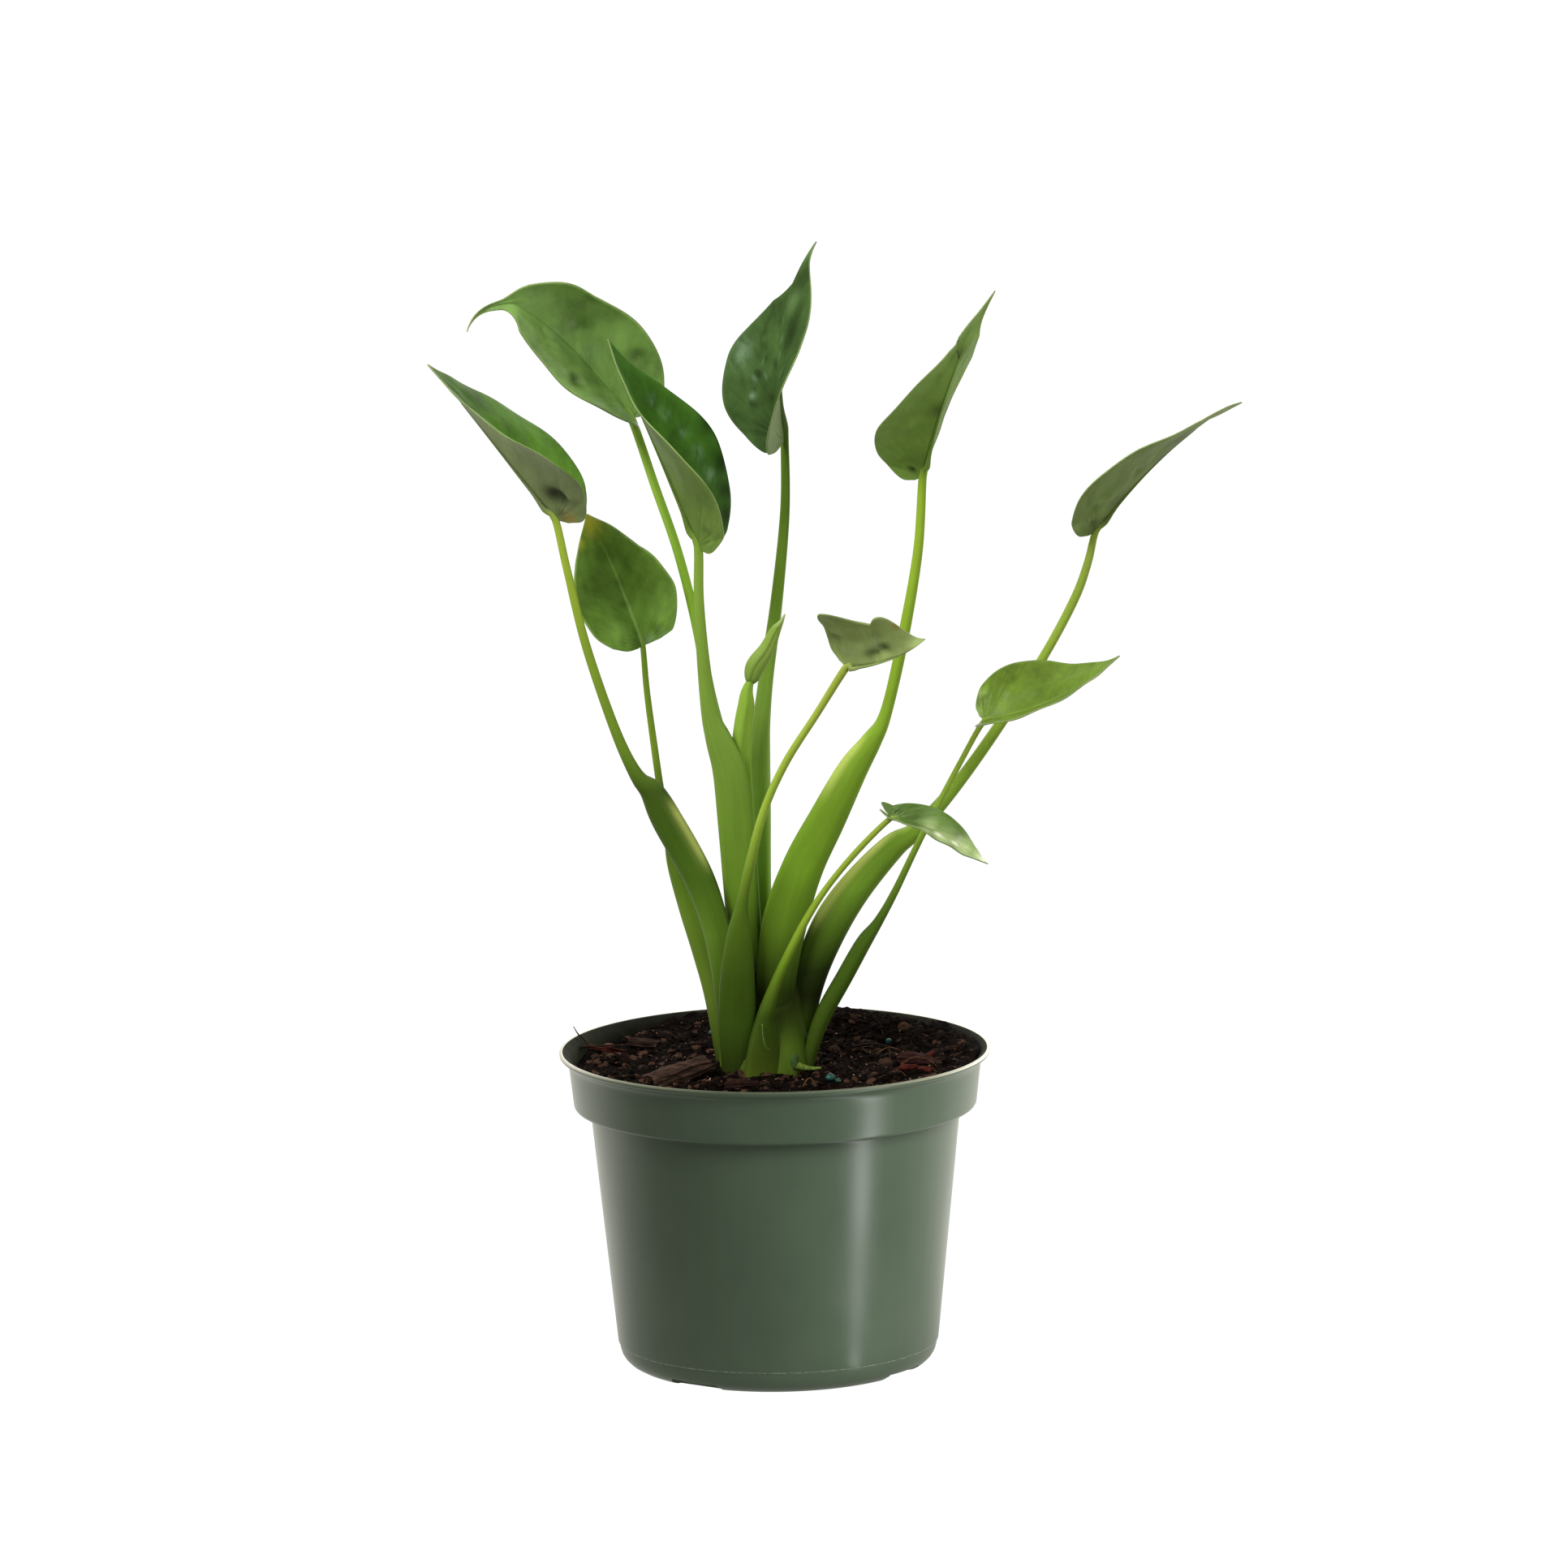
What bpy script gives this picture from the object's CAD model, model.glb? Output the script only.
import math

import bmesh
import bpy
import numpy as np
from mathutils import Matrix, Vector, noise


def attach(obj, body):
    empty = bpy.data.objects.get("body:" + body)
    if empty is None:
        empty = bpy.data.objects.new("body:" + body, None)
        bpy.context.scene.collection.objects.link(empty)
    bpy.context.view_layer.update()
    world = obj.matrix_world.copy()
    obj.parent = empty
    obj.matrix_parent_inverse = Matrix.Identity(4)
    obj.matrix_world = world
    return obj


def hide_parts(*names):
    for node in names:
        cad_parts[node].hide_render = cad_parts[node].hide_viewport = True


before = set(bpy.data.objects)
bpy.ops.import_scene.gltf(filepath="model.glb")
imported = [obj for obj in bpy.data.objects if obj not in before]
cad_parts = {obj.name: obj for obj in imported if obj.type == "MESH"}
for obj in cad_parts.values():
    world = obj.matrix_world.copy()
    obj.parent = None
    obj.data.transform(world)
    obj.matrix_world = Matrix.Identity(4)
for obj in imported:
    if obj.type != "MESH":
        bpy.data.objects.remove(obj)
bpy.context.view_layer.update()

mm = 0.001                                   # sizes below are millimetres
scene = bpy.context.scene
print("frame loaded:", len(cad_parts), "nodes")


# ---- helpers for meshes

def unit(vector):
    return vector / np.linalg.norm(vector)


def smoothPath(points, share):               # curve through all points, share from 0 to 1
    points = np.asarray(points, float)
    share = np.asarray(share, float)
    spans = len(points) - 1
    place = np.clip(share, 0.0, 1.0) * spans
    i = np.minimum(place.astype(int), spans - 1)
    t = (place - i)[..., None]
    padded = np.vstack((2 * points[0] - points[1], points, 2 * points[-1] - points[-2]))
    a, b, c, d = padded[i], padded[i + 1], padded[i + 2], padded[i + 3]
    return 0.5 * (2 * b + (c - a) * t + (2 * a - 5 * b + 4 * c - d) * t * t + (3 * b - a - 3 * c + d) * t ** 3)


def smoothStep(low, high, value):
    t = np.clip((value - low) / (high - low), 0.0, 1.0)
    return t * t * (3 - 2 * t)


def noiseAt(place, seed=0.0):
    return noise.noise(Vector(place) + Vector((seed * 7.3, seed * 3.1, seed * 5.7)))


def meshObject(name, points, faces, materials, smooth=True, attributes=None, merge=0.0):
    mesh = bpy.data.meshes.new(name)
    mesh.from_pydata([tuple(p) for p in np.asarray(points) * mm], [], [tuple(f) for f in faces])
    for label, values in (attributes or {}).items():
        values = np.asarray(values, float)
        if values.ndim == 1:
            layer = mesh.attributes.new(label, "FLOAT", "POINT")
            layer.data.foreach_set("value", values)
        else:
            layer = mesh.attributes.new(label, "FLOAT_VECTOR", "POINT")
            layer.data.foreach_set("vector", values.ravel())
    if merge:
        bm = bmesh.new()
        bm.from_mesh(mesh)
        bmesh.ops.remove_doubles(bm, verts=bm.verts, dist=merge * mm)
        bmesh.ops.dissolve_degenerate(bm, edges=bm.edges, dist=merge * 0.5 * mm)
        bm.to_mesh(mesh)
        bm.free()
    for material in materials:
        mesh.materials.append(material)
    obj = bpy.data.objects.new(name, mesh)
    scene.collection.objects.link(obj)
    if smooth:
        mesh.shade_smooth()
    return obj


def settle(obj):                             # modifiers become plain mesh
    graph = bpy.context.evaluated_depsgraph_get()
    mesh = bpy.data.meshes.new_from_object(obj.evaluated_get(graph))
    obj.modifiers.clear()
    obj.data = mesh
    mesh.name = obj.name
    return obj


def place(obj, slotName, *nodes):            # every piece rides on the one body
    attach(obj, "root")
    receivers["pot" if slotName == "pot_plastic" else "plant"].objects.link(obj)
    if nodes:
        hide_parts(*nodes)
    return obj


# ---- helpers for geometry nodes

def newTree(name, inputs):
    tree = bpy.data.node_groups.new(name, "GeometryNodeTree")
    tree.is_modifier = True
    tree.interface.new_socket(name="Geometry", in_out="INPUT", socket_type="NodeSocketGeometry")
    for label, value in inputs.items():
        kind = "NodeSocketInt" if isinstance(value, int) else "NodeSocketFloat"
        tree.interface.new_socket(name=label, in_out="INPUT", socket_type=kind).default_value = value
    tree.interface.new_socket(name="Geometry", in_out="OUTPUT", socket_type="NodeSocketGeometry")
    return tree


def addNode(tree, kind, settings=None, values=None):
    node = tree.nodes.new(kind)
    for label, value in (settings or {}).items():
        setattr(node, label, value)
    for label, value in (values or {}).items():
        node.inputs[label].default_value = value
    return node


def runTree(obj, tree, values):              # sets the inputs by identifier, then bakes the result
    modifier = obj.modifiers.new(tree.name, "NODES")
    modifier.node_group = tree
    for item in tree.interface.items_tree:
        if item.item_type == "SOCKET" and item.in_out == "INPUT" and item.name in values:
            modifier[item.identifier] = values[item.name]
    return settle(obj)


# ---- helpers for materials

def newMaterial(name, roughness=0.5, specular=0.5):
    material = bpy.data.materials.new(name)
    material.use_nodes = True
    shader = material.node_tree.nodes["Principled BSDF"]
    shader.inputs["Roughness"].default_value = roughness
    shader.inputs["Specular IOR Level"].default_value = specular
    return material, material.node_tree, shader


def linear(colour):                          # 0 to 255 screen values to linear light
    shares = [c / 255.0 for c in colour]
    return tuple(c / 12.92 if c <= 0.04045 else ((c + 0.055) / 1.055) ** 2.4 for c in shares) + (1.0,)


def coordinate(tree):
    return addNode(tree, "ShaderNodeTexCoord").outputs["Object"]


def attribute(tree, label):
    return addNode(tree, "ShaderNodeAttribute", {"attribute_name": label})


def stretched(tree, vector, scale):
    mapping = addNode(tree, "ShaderNodeMapping", None, {"Scale": scale})
    tree.links.new(vector, mapping.inputs["Vector"])
    return mapping.outputs["Vector"]


def noiseNode(tree, vector, scale, detail=4.0, roughness=0.55):
    node = addNode(tree, "ShaderNodeTexNoise", None, {"Scale": scale, "Detail": detail, "Roughness": roughness})
    tree.links.new(vector, node.inputs["Vector"])
    return node.outputs["Fac"]


def rampNode(tree, factor, stops):           # stops: (place, colour or grey)
    node = addNode(tree, "ShaderNodeValToRGB")
    elements = node.color_ramp.elements
    while len(elements) < len(stops):
        elements.new(0.5)
    for element, (position, colour) in zip(elements, stops):
        element.position = position
        element.color = colour if isinstance(colour, tuple) else (colour, colour, colour, 1.0)
    tree.links.new(factor, node.inputs["Fac"])
    return node.outputs["Color"]


def feed(tree, socket, value):
    if isinstance(value, bpy.types.NodeSocket):
        tree.links.new(value, socket)
    else:
        socket.default_value = value


def mixNode(tree, factor, first, second, mode="MIX"):
    node = addNode(tree, "ShaderNodeMix", {"data_type": "RGBA", "blend_type": mode})
    feed(tree, node.inputs[0], factor)
    feed(tree, node.inputs[6], first)
    feed(tree, node.inputs[7], second)
    return node.outputs[2]


def mathNode(tree, operation, first, second=0.0, clamp=False):
    node = addNode(tree, "ShaderNodeMath", {"operation": operation, "use_clamp": clamp})
    feed(tree, node.inputs[0], first)
    feed(tree, node.inputs[1], second)
    return node.outputs[0]


def bumpNode(tree, shader, height, distance, strength=1.0, after=None):
    node = addNode(tree, "ShaderNodeBump", None, {"Strength": strength, "Distance": distance})
    tree.links.new(height, node.inputs["Height"])
    if after is not None:
        tree.links.new(after, node.inputs["Normal"])
    tree.links.new(node.outputs["Normal"], shader.inputs["Normal"])
    return node.outputs["Normal"]


# ---- camera, floor and light

camera = dict(distance=4000.0, pitch=10.2, roll=0.75, lens=241.0, sensor=36.0, target=(4.9, 0.0, 225.2))


def makeCamera():
    pitch, roll = math.radians(camera["pitch"]), math.radians(camera["roll"])
    forward = Vector((0.0, math.cos(pitch), -math.sin(pitch)))
    level = Vector((1.0, 0.0, 0.0))
    upright = Vector((0.0, math.sin(pitch), math.cos(pitch)))
    right = math.cos(roll) * level - math.sin(roll) * upright
    top = math.sin(roll) * level + math.cos(roll) * upright
    data = bpy.data.cameras.new("studioCamera")
    data.lens = camera["lens"]
    data.sensor_width = camera["sensor"]
    data.clip_end = 60.0
    obj = bpy.data.objects.new("studioCamera", data)
    matrix = Matrix((right, top, -forward)).transposed().to_4x4()
    matrix.translation = (Vector(camera["target"]) - camera["distance"] * forward) * mm
    obj.matrix_world = matrix
    scene.collection.objects.link(obj)
    scene.camera = obj


studio = dict(seen=1.05, frontGlow=0.30, backGlow=1.25, tint=(1.0, 0.985, 0.90, 1.0), floorSize=14.0, turnFrom=-0.3, turnTo=0.35)

lights = {                                   # place, point it faces, width, height, watts and what it lights
    "plantKey": dict(at=(-1.25, -1.55, 2.0), to=(0.0, 0.0, 0.28), size=(0.9, 0.9), power=62.0, group="plant"),
    "plantFill": dict(at=(1.3, -2.2, 1.1), to=(0.0, 0.0, 0.25), size=(1.4, 1.4), power=20.0, group="plant"),
    "potKey": dict(at=(1.5, -1.7, 1.5), to=(0.0, 0.0, 0.1), size=(1.4, 1.4), power=62.0, group="pot"),
    "potNear": dict(at=(0.0596, -0.0742, 0.003), size=(0.049, 0.0055), power=0.0038, turn=-33.5, group="pot"),
    "potMiddle": dict(at=(0.1184, -0.1132, 0.003), size=(0.093, 0.016), power=0.028, turn=-33.5, group="pot"),
    "potFar": dict(at=(0.2385, -0.1926, 0.003), size=(0.195, 0.036), power=0.24, turn=-33.5, group="pot"),
}
receivers = {group: bpy.data.collections.new(group + "Lit") for group in ("plant", "pot")}


def glowShader(tree, output, kind, place, reach):   # white where it is seen; brighter behind than in front
    path = addNode(tree, "ShaderNodeLightPath")
    parts = addNode(tree, "ShaderNodeSeparateXYZ")
    tree.links.new(place, parts.inputs[0])
    rise = addNode(tree, "ShaderNodeMapRange", {"interpolation_type": "SMOOTHSTEP"},
                   {"From Min": studio["turnFrom"] * reach, "From Max": studio["turnTo"] * reach,
                    "To Min": studio["frontGlow"], "To Max": studio["backGlow"]})
    tree.links.new(parts.outputs["Y"], rise.inputs["Value"])
    shown = addNode(tree, kind)
    shown.inputs["Strength"].default_value = studio["seen"]
    lit = addNode(tree, kind)
    tree.links.new(rise.outputs["Result"], lit.inputs["Strength"])
    shown.inputs["Color"].default_value = (1.0, 1.0, 1.0, 1.0)
    lit.inputs["Color"].default_value = studio["tint"]
    mix = addNode(tree, "ShaderNodeMixShader")
    tree.links.new(path.outputs["Is Camera Ray"], mix.inputs[0])
    tree.links.new(lit.outputs[0], mix.inputs[1])
    tree.links.new(shown.outputs[0], mix.inputs[2])
    tree.links.new(mix.outputs[0], output.inputs["Surface"])


def makeStudio():
    world = bpy.data.worlds.new("paleSky")
    world.use_nodes = True
    tree = world.node_tree
    tree.nodes.clear()
    output = addNode(tree, "ShaderNodeOutputWorld")
    way = addNode(tree, "ShaderNodeTexCoord").outputs["Generated"]
    glowShader(tree, output, "ShaderNodeBackground", way, 1.0)
    scene.world = world
    scene.view_settings.view_transform = "Standard"

    paper = bpy.data.materials.new("palePaper")
    paper.use_nodes = True
    tree = paper.node_tree
    tree.nodes.clear()
    output = addNode(tree, "ShaderNodeOutputMaterial")
    glowShader(tree, output, "ShaderNodeEmission", coordinate(tree), 0.5)
    half = studio["floorSize"] / 2 / mm
    floor = meshObject("floor", [(-half, -half, 0), (half, -half, 0), (half, half, 0), (-half, half, 0)],
                       [(0, 1, 2, 3)], [paper], smooth=False)

    for name, light in lights.items():
        data = bpy.data.lights.new(name, "AREA")
        data.shape = "RECTANGLE"
        data.size, data.size_y = light["size"]
        data.energy = light["power"]
        obj = bpy.data.objects.new(name, data)
        if "turn" in light:                  # lies on the floor and shines up
            turn = Matrix.Rotation(math.radians(light["turn"]), 3, "Z") @ Matrix.Rotation(math.pi, 3, "X")
        else:
            turn = (Vector(light["to"]) - Vector(light["at"])).to_track_quat("-Z", "Y").to_matrix()
        obj.rotation_euler = turn.to_euler()
        obj.location = light["at"]
        obj.visible_camera = False
        obj.light_linking.receiver_collection = receivers[light["group"]]
        scene.collection.objects.link(obj)


makeCamera()
makeStudio()
print("camera, floor and lights made")


# ---- pot

pot = dict(height=122.5, lipRadius=82.5, bandTop=78.8, bandFoot=77.2, bandHeight=101.0, bodyTop=70.7,
           stepHeight=9.2, stepRadius=61.6, baseRadius=51.4, wall=1.3, floor=1.8, segments=224,
           notches=4, notchAngle=-34.0, notchWidth=22.0, notchHeight=3.2)


def potProfile():                            # closed wall section, from the inner floor over the lip and down
    top, foot, wall = pot["height"], pot["bandHeight"], pot["wall"]
    innerTop, innerFoot = pot["bandTop"] - wall, pot["bandFoot"] - wall
    lip, body = pot["lipRadius"], pot["bodyTop"]
    step, base, stepAt = pot["stepRadius"], pot["baseRadius"], pot["stepHeight"]
    inside = [(0.05, pot["floor"]), (20, 1.8), (40, 1.8), (base - 1, 1.8), (base + 3.2, 2.3), (step - wall - 2.2, 4.6),
              (step - wall - 0.7, 7.0), (step - wall, stepAt)]
    for k in range(1, 12):
        share = k / 12
        inside.append((step - wall + (body - step) * share, stepAt + (foot - 1 - stepAt) * share))
    inside += [(body - wall, foot - 1.0), (body - wall + 0.3, foot + 0.1), (body + 0.6, foot + 0.9),
               (innerFoot - 0.9, foot + 1.1), (innerFoot - 0.2, foot + 1.6), (innerFoot, foot + 2.6)]
    inside += [(innerFoot + (innerTop - innerFoot) * k / 5, foot + 2.6 + (top - 5 - foot - 2.6) * k / 5)
               for k in range(1, 5)]
    lipLine = [(innerTop, top - 5.0), (innerTop + 0.35, top - 3.3), (innerTop + 1.2, top - 1.8),
               (innerTop + 2.5, top - 0.75), (lip - 2.0, top - 0.25), (lip - 1.2, top - 0.05), (lip - 0.6, top - 0.05),
               (lip - 0.18, top - 0.3), (lip, top - 0.75), (lip - 0.1, top - 1.3), (lip - 0.5, top - 1.8),
               (lip - 1.2, top - 2.4), (pot["bandTop"] + 1.0, top - 3.3), (pot["bandTop"] + 0.3, top - 4.4),
               (pot["bandTop"], top - 5.8)]
    band = [(pot["bandTop"] + (pot["bandFoot"] - pot["bandTop"]) * k / 6, top - 5.8 + (foot + 1.4 - top + 5.8) * k / 6)
            for k in range(1, 6)]
    band += [(pot["bandFoot"], foot + 1.4), (pot["bandFoot"] - 0.1, foot + 0.8), (pot["bandFoot"] - 0.45, foot + 0.25),
             (pot["bandFoot"] - 1.1, foot), (body + 2.2, foot - 0.3), (body + 0.9, foot - 0.6),
             (body + 0.35, foot - 1.0), (body + 0.08, foot - 1.7), (body, foot - 2.6)]
    outside = [(body + (step - body) * k / 14, foot - 2.6 + (stepAt + 0.5 - foot + 2.6) * k / 14)
               for k in range(1, 14)]
    outside += [(step, stepAt + 0.5), (step - 0.1, stepAt + 0.1), (step - 0.45, stepAt - 0.15), (step - 0.55, 8.4),
                (step - 0.85, 6.8), (step - 1.4, 5.0), (step - 2.4, 3.4), (step - 3.8, 2.0), (step - 5.8, 0.9),
                (base + 2.2, 0.25), (base, 0.0), (base - 3, 0.0), (38, 0.0), (20, 0.0), (0.05, 0.0)]
    return inside + lipLine + band + outside


def turnedTree(plastic):                     # swings a profile round a ring
    tree = newTree("turnedWall", {"Segments": 96, "Ring": 0.05, "Weld": 0.00002})
    entry, leave = addNode(tree, "NodeGroupInput"), addNode(tree, "NodeGroupOutput")
    profile = addNode(tree, "GeometryNodeMeshToCurve")
    ring = addNode(tree, "GeometryNodeCurvePrimitiveCircle")
    sweep = addNode(tree, "GeometryNodeCurveToMesh")
    weld = addNode(tree, "GeometryNodeMergeByDistance")
    smooth = addNode(tree, "GeometryNodeSetShadeSmooth")
    gather = addNode(tree, "GeometryNodeRealizeInstances")
    paint = addNode(tree, "GeometryNodeSetMaterial", None, {"Material": plastic})
    link = tree.links.new
    link(entry.outputs["Geometry"], profile.inputs[0])
    link(entry.outputs["Segments"], ring.inputs["Resolution"])
    link(entry.outputs["Ring"], ring.inputs["Radius"])
    link(ring.outputs["Curve"], sweep.inputs["Curve"])
    link(profile.outputs[0], sweep.inputs["Profile Curve"])
    link(sweep.outputs["Mesh"], weld.inputs["Geometry"])
    link(entry.outputs["Weld"], weld.inputs["Distance"])
    link(weld.outputs[0], smooth.inputs["Geometry"])
    link(smooth.outputs[0], gather.inputs["Geometry"])
    link(gather.outputs[0], paint.inputs["Geometry"])
    link(paint.outputs[0], leave.inputs[0])
    return tree


def turnedPiece(name, profile, segments, material):
    ring = 50.0                              # the ring's radius, which the profile's places are counted from
    points = np.array([((max(r, 0.0) - ring), -z, 0.0) for r, z in profile]) * mm
    mesh = bpy.data.meshes.new(name)
    mesh.from_pydata([tuple(p) for p in points], [(i, i + 1) for i in range(len(points) - 1)], [])
    obj = bpy.data.objects.new(name, mesh)
    scene.collection.objects.link(obj)
    runTree(obj, turnedTree(material), {"Segments": segments, "Ring": ring * mm, "Weld": 0.08 * mm})
    bm = bmesh.new()
    bm.from_mesh(obj.data)
    bmesh.ops.remove_doubles(bm, verts=[v for v in bm.verts if v.co.xy.length < 0.2 * mm], dist=0.4 * mm)
    bmesh.ops.holes_fill(bm, edges=bm.edges, sides=0)
    bmesh.ops.recalc_face_normals(bm, faces=bm.faces)
    bm.to_mesh(obj.data)
    bm.free()
    return obj


def insideMaterial():                        # the inner wall, dull with mix dust
    material, tree, shader = newMaterial("potInside", roughness=0.75, specular=0.15)
    dust = noiseNode(tree, coordinate(tree), 140.0, 5.0, 0.65)
    tree.links.new(rampNode(tree, dust, [(0.35, linear((16, 18, 9))), (0.7, linear((34, 37, 21)))]),
                   shader.inputs["Base Color"])
    bumpNode(tree, shader, dust, 0.0002, 0.4)
    return material


def lipMaterial():                           # the rolled edge, rubbed pale
    material, tree, shader = newMaterial("potLip", roughness=0.5, specular=0.4)
    where = coordinate(tree)
    rub = noiseNode(tree, where, 320.0, 4.0, 0.6)
    parts = addNode(tree, "ShaderNodeSeparateXYZ")
    tree.links.new(where, parts.inputs[0])
    depth = mathNode(tree, "ADD", mathNode(tree, "MULTIPLY", parts.outputs["Y"], 5.0), 0.5)
    base = rampNode(tree, depth, [(0.1, linear((80, 88, 66))), (0.21, linear((142, 144, 122))), (0.36, linear((240, 236, 222)))])
    base = mixNode(tree, 0.5, base, rampNode(tree, rub, [(0.3, 0.82), (0.68, 1.0)]), "MULTIPLY")
    tree.links.new(base, shader.inputs["Base Color"])
    bumpNode(tree, shader, rub, 0.00015, 0.5)
    return material


def plasticMaterial():
    material, tree, shader = newMaterial("potPlastic", roughness=0.30, specular=0.5)
    where = coordinate(tree)
    cloud = noiseNode(tree, where, 22.0, 3.0)
    grain = noiseNode(tree, where, 900.0, 3.0)
    flow = noiseNode(tree, stretched(tree, where, (1.0, 1.0, 0.06)), 260.0, 3.0)
    base = rampNode(tree, cloud, [(0.3, linear((68, 85, 67))), (0.7, linear((77, 93, 74)))])
    base = mixNode(tree, 0.06, base, rampNode(tree, flow, [(0.35, linear((60, 76, 56))), (0.7, linear((88, 104, 82)))]))
    parts = addNode(tree, "ShaderNodeSeparateXYZ")
    tree.links.new(where, parts.inputs[0])
    away = mathNode(tree, "ABSOLUTE", mathNode(tree, "SUBTRACT", parts.outputs["Z"], (pot["stepHeight"] + 0.05) * mm))
    parting = mathNode(tree, "MULTIPLY", rampNode(tree, mathNode(tree, "DIVIDE", away, 0.5 * mm), [(0.3, 1.0), (0.8, 0.0)]),
                       rampNode(tree, grain, [(0.4, 0.15), (0.62, 0.8)]))
    base = mixNode(tree, parting, base, linear((150, 158, 142)))
    tree.links.new(base, shader.inputs["Base Color"])
    tree.links.new(rampNode(tree, cloud, [(0.3, 0.27), (0.75, 0.34)]), shader.inputs["Roughness"])
    bumpNode(tree, shader, grain, 0.00003, 0.3)
    return material


def makePot():
    obj = turnedPiece("pot_shell", potProfile(), pot["segments"], plasticMaterial())
    for i in range(pot["notches"]):
        angle = math.radians(pot["notchAngle"] + 360.0 / pot["notches"] * i - 90.0)
        depth = pot["stepRadius"] - pot["baseRadius"] + 8.0
        bm = bmesh.new()
        bmesh.ops.create_cube(bm, size=1.0)
        bmesh.ops.scale(bm, verts=bm.verts, vec=Vector((depth, pot["notchWidth"], 2 * pot["notchHeight"])) * mm)
        bmesh.ops.bevel(bm, geom=[e for e in bm.edges if abs(e.verts[0].co.y - e.verts[1].co.y) < 1e-6
                                  and abs(e.verts[0].co.z - e.verts[1].co.z) < 1e-6],
                        offset=0.9 * mm, segments=3, affect="EDGES")
        middle = pot["baseRadius"] - 1.0 + depth / 2
        turn = Matrix.Translation(Vector((middle * math.cos(angle), middle * math.sin(angle), 0.0)) * mm)
        bmesh.ops.transform(bm, matrix=turn @ Matrix.Rotation(angle, 4, "Z"), verts=bm.verts)
        mesh = bpy.data.meshes.new("notchCutter")
        bm.to_mesh(mesh)
        bm.free()
        cutter = bpy.data.objects.new("notchCutter", mesh)
        scene.collection.objects.link(cutter)
        boolean = obj.modifiers.new("notch", "BOOLEAN")
        boolean.operation = "DIFFERENCE"
        boolean.solver = "EXACT"
        boolean.object = cutter
        settle(obj)
        bpy.data.objects.remove(cutter)
    obj.data.materials.append(insideMaterial())
    obj.data.materials.append(lipMaterial())
    for face in obj.data.polygons:
        radius, height = face.center.xy.length / mm, face.center.z / mm
        facesIn = face.normal.xy.dot(face.center.xy) < 0
        if height > pot["height"] - 0.9 and radius > pot["lipRadius"] - 1.1:
            face.material_index = 2
        elif (facesIn and height > pot["floor"]) or (abs(face.normal.z) > 0.9 and 1.0 < height < 3.0):
            face.material_index = 1
    obj.data.shade_smooth()
    obj.data.set_sharp_from_angle(angle=math.radians(38))
    place(obj, "pot_plastic", "pot")


makePot()
print("pot turned")


# ---- potting mix

mix = dict(level=114.6, riseFrom=-25.0, rise=0.05, relief=2.6, dip=(-64.0, 42.0, 12.0, 2.0),
           rings=64, segments=200, fine=1.4, heap=5.0, heapFrom=0.66, heapToward=38.0, crown=(-4.3, 0.5))


def mixLevel(x, y):
    lumps = noise.noise(Vector((x / 17.0, y / 17.0, 4.1))) + 0.5 * noise.noise(Vector((x / 8.0, y / 8.0, 9.7)))
    dipX, dipY, spread, depth = mix["dip"]
    dip = depth * math.exp(-((x - dipX) ** 2 + (y - dipY) ** 2) / (2 * spread ** 2))
    toward = math.cos(math.atan2(y, x) - math.radians(mix["heapToward"]))
    heap = mix["heap"] * float(smoothStep(mix["heapFrom"], 0.98, math.hypot(x, y) / 78.0)) * max(0.35 + 0.65 * toward, 0.0)
    return mix["level"] + mix["rise"] * max(y - mix["riseFrom"], 0.0) * 0.8 + heap - dip + mix["relief"] * lumps


def mixSurface(x, y):                        # the level with the fine crumbling on it
    fine = noise.noise(Vector((x / 3.1, y / 3.1, 2.2))) + 0.6 * noise.noise(Vector((x / 1.3, y / 1.3, 5.2)))
    return mixLevel(x, y) + mix["fine"] * fine


def soilMaterial(name, dark, light, warm, attributeName=None):
    material, tree, shader = newMaterial(name, roughness=0.75, specular=0.02)
    where = coordinate(tree)
    coarse = noiseNode(tree, where, 160.0, 6.0, 0.65)
    fine = noiseNode(tree, where, 900.0, 4.0, 0.7)
    base = rampNode(tree, coarse, [(0.32, linear(dark)), (0.62, linear(light))])
    if attributeName:
        tint = attribute(tree, attributeName).outputs["Fac"]
        base = mixNode(tree, rampNode(tree, tint, [(0.86, 0.0), (0.99, 0.95)]), base, linear(warm))
        base = mixNode(tree, rampNode(tree, tint, [(0.1, 0.9), (0.5, 0.0)]), base, linear((4, 2, 1)))
    base = mixNode(tree, 0.5, base, rampNode(tree, fine, [(0.3, 0.25), (0.75, 1.0)]), "MULTIPLY")
    tree.links.new(base, shader.inputs["Base Color"])
    bumpNode(tree, shader, fine, 0.0004, 0.8)
    return material


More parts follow.
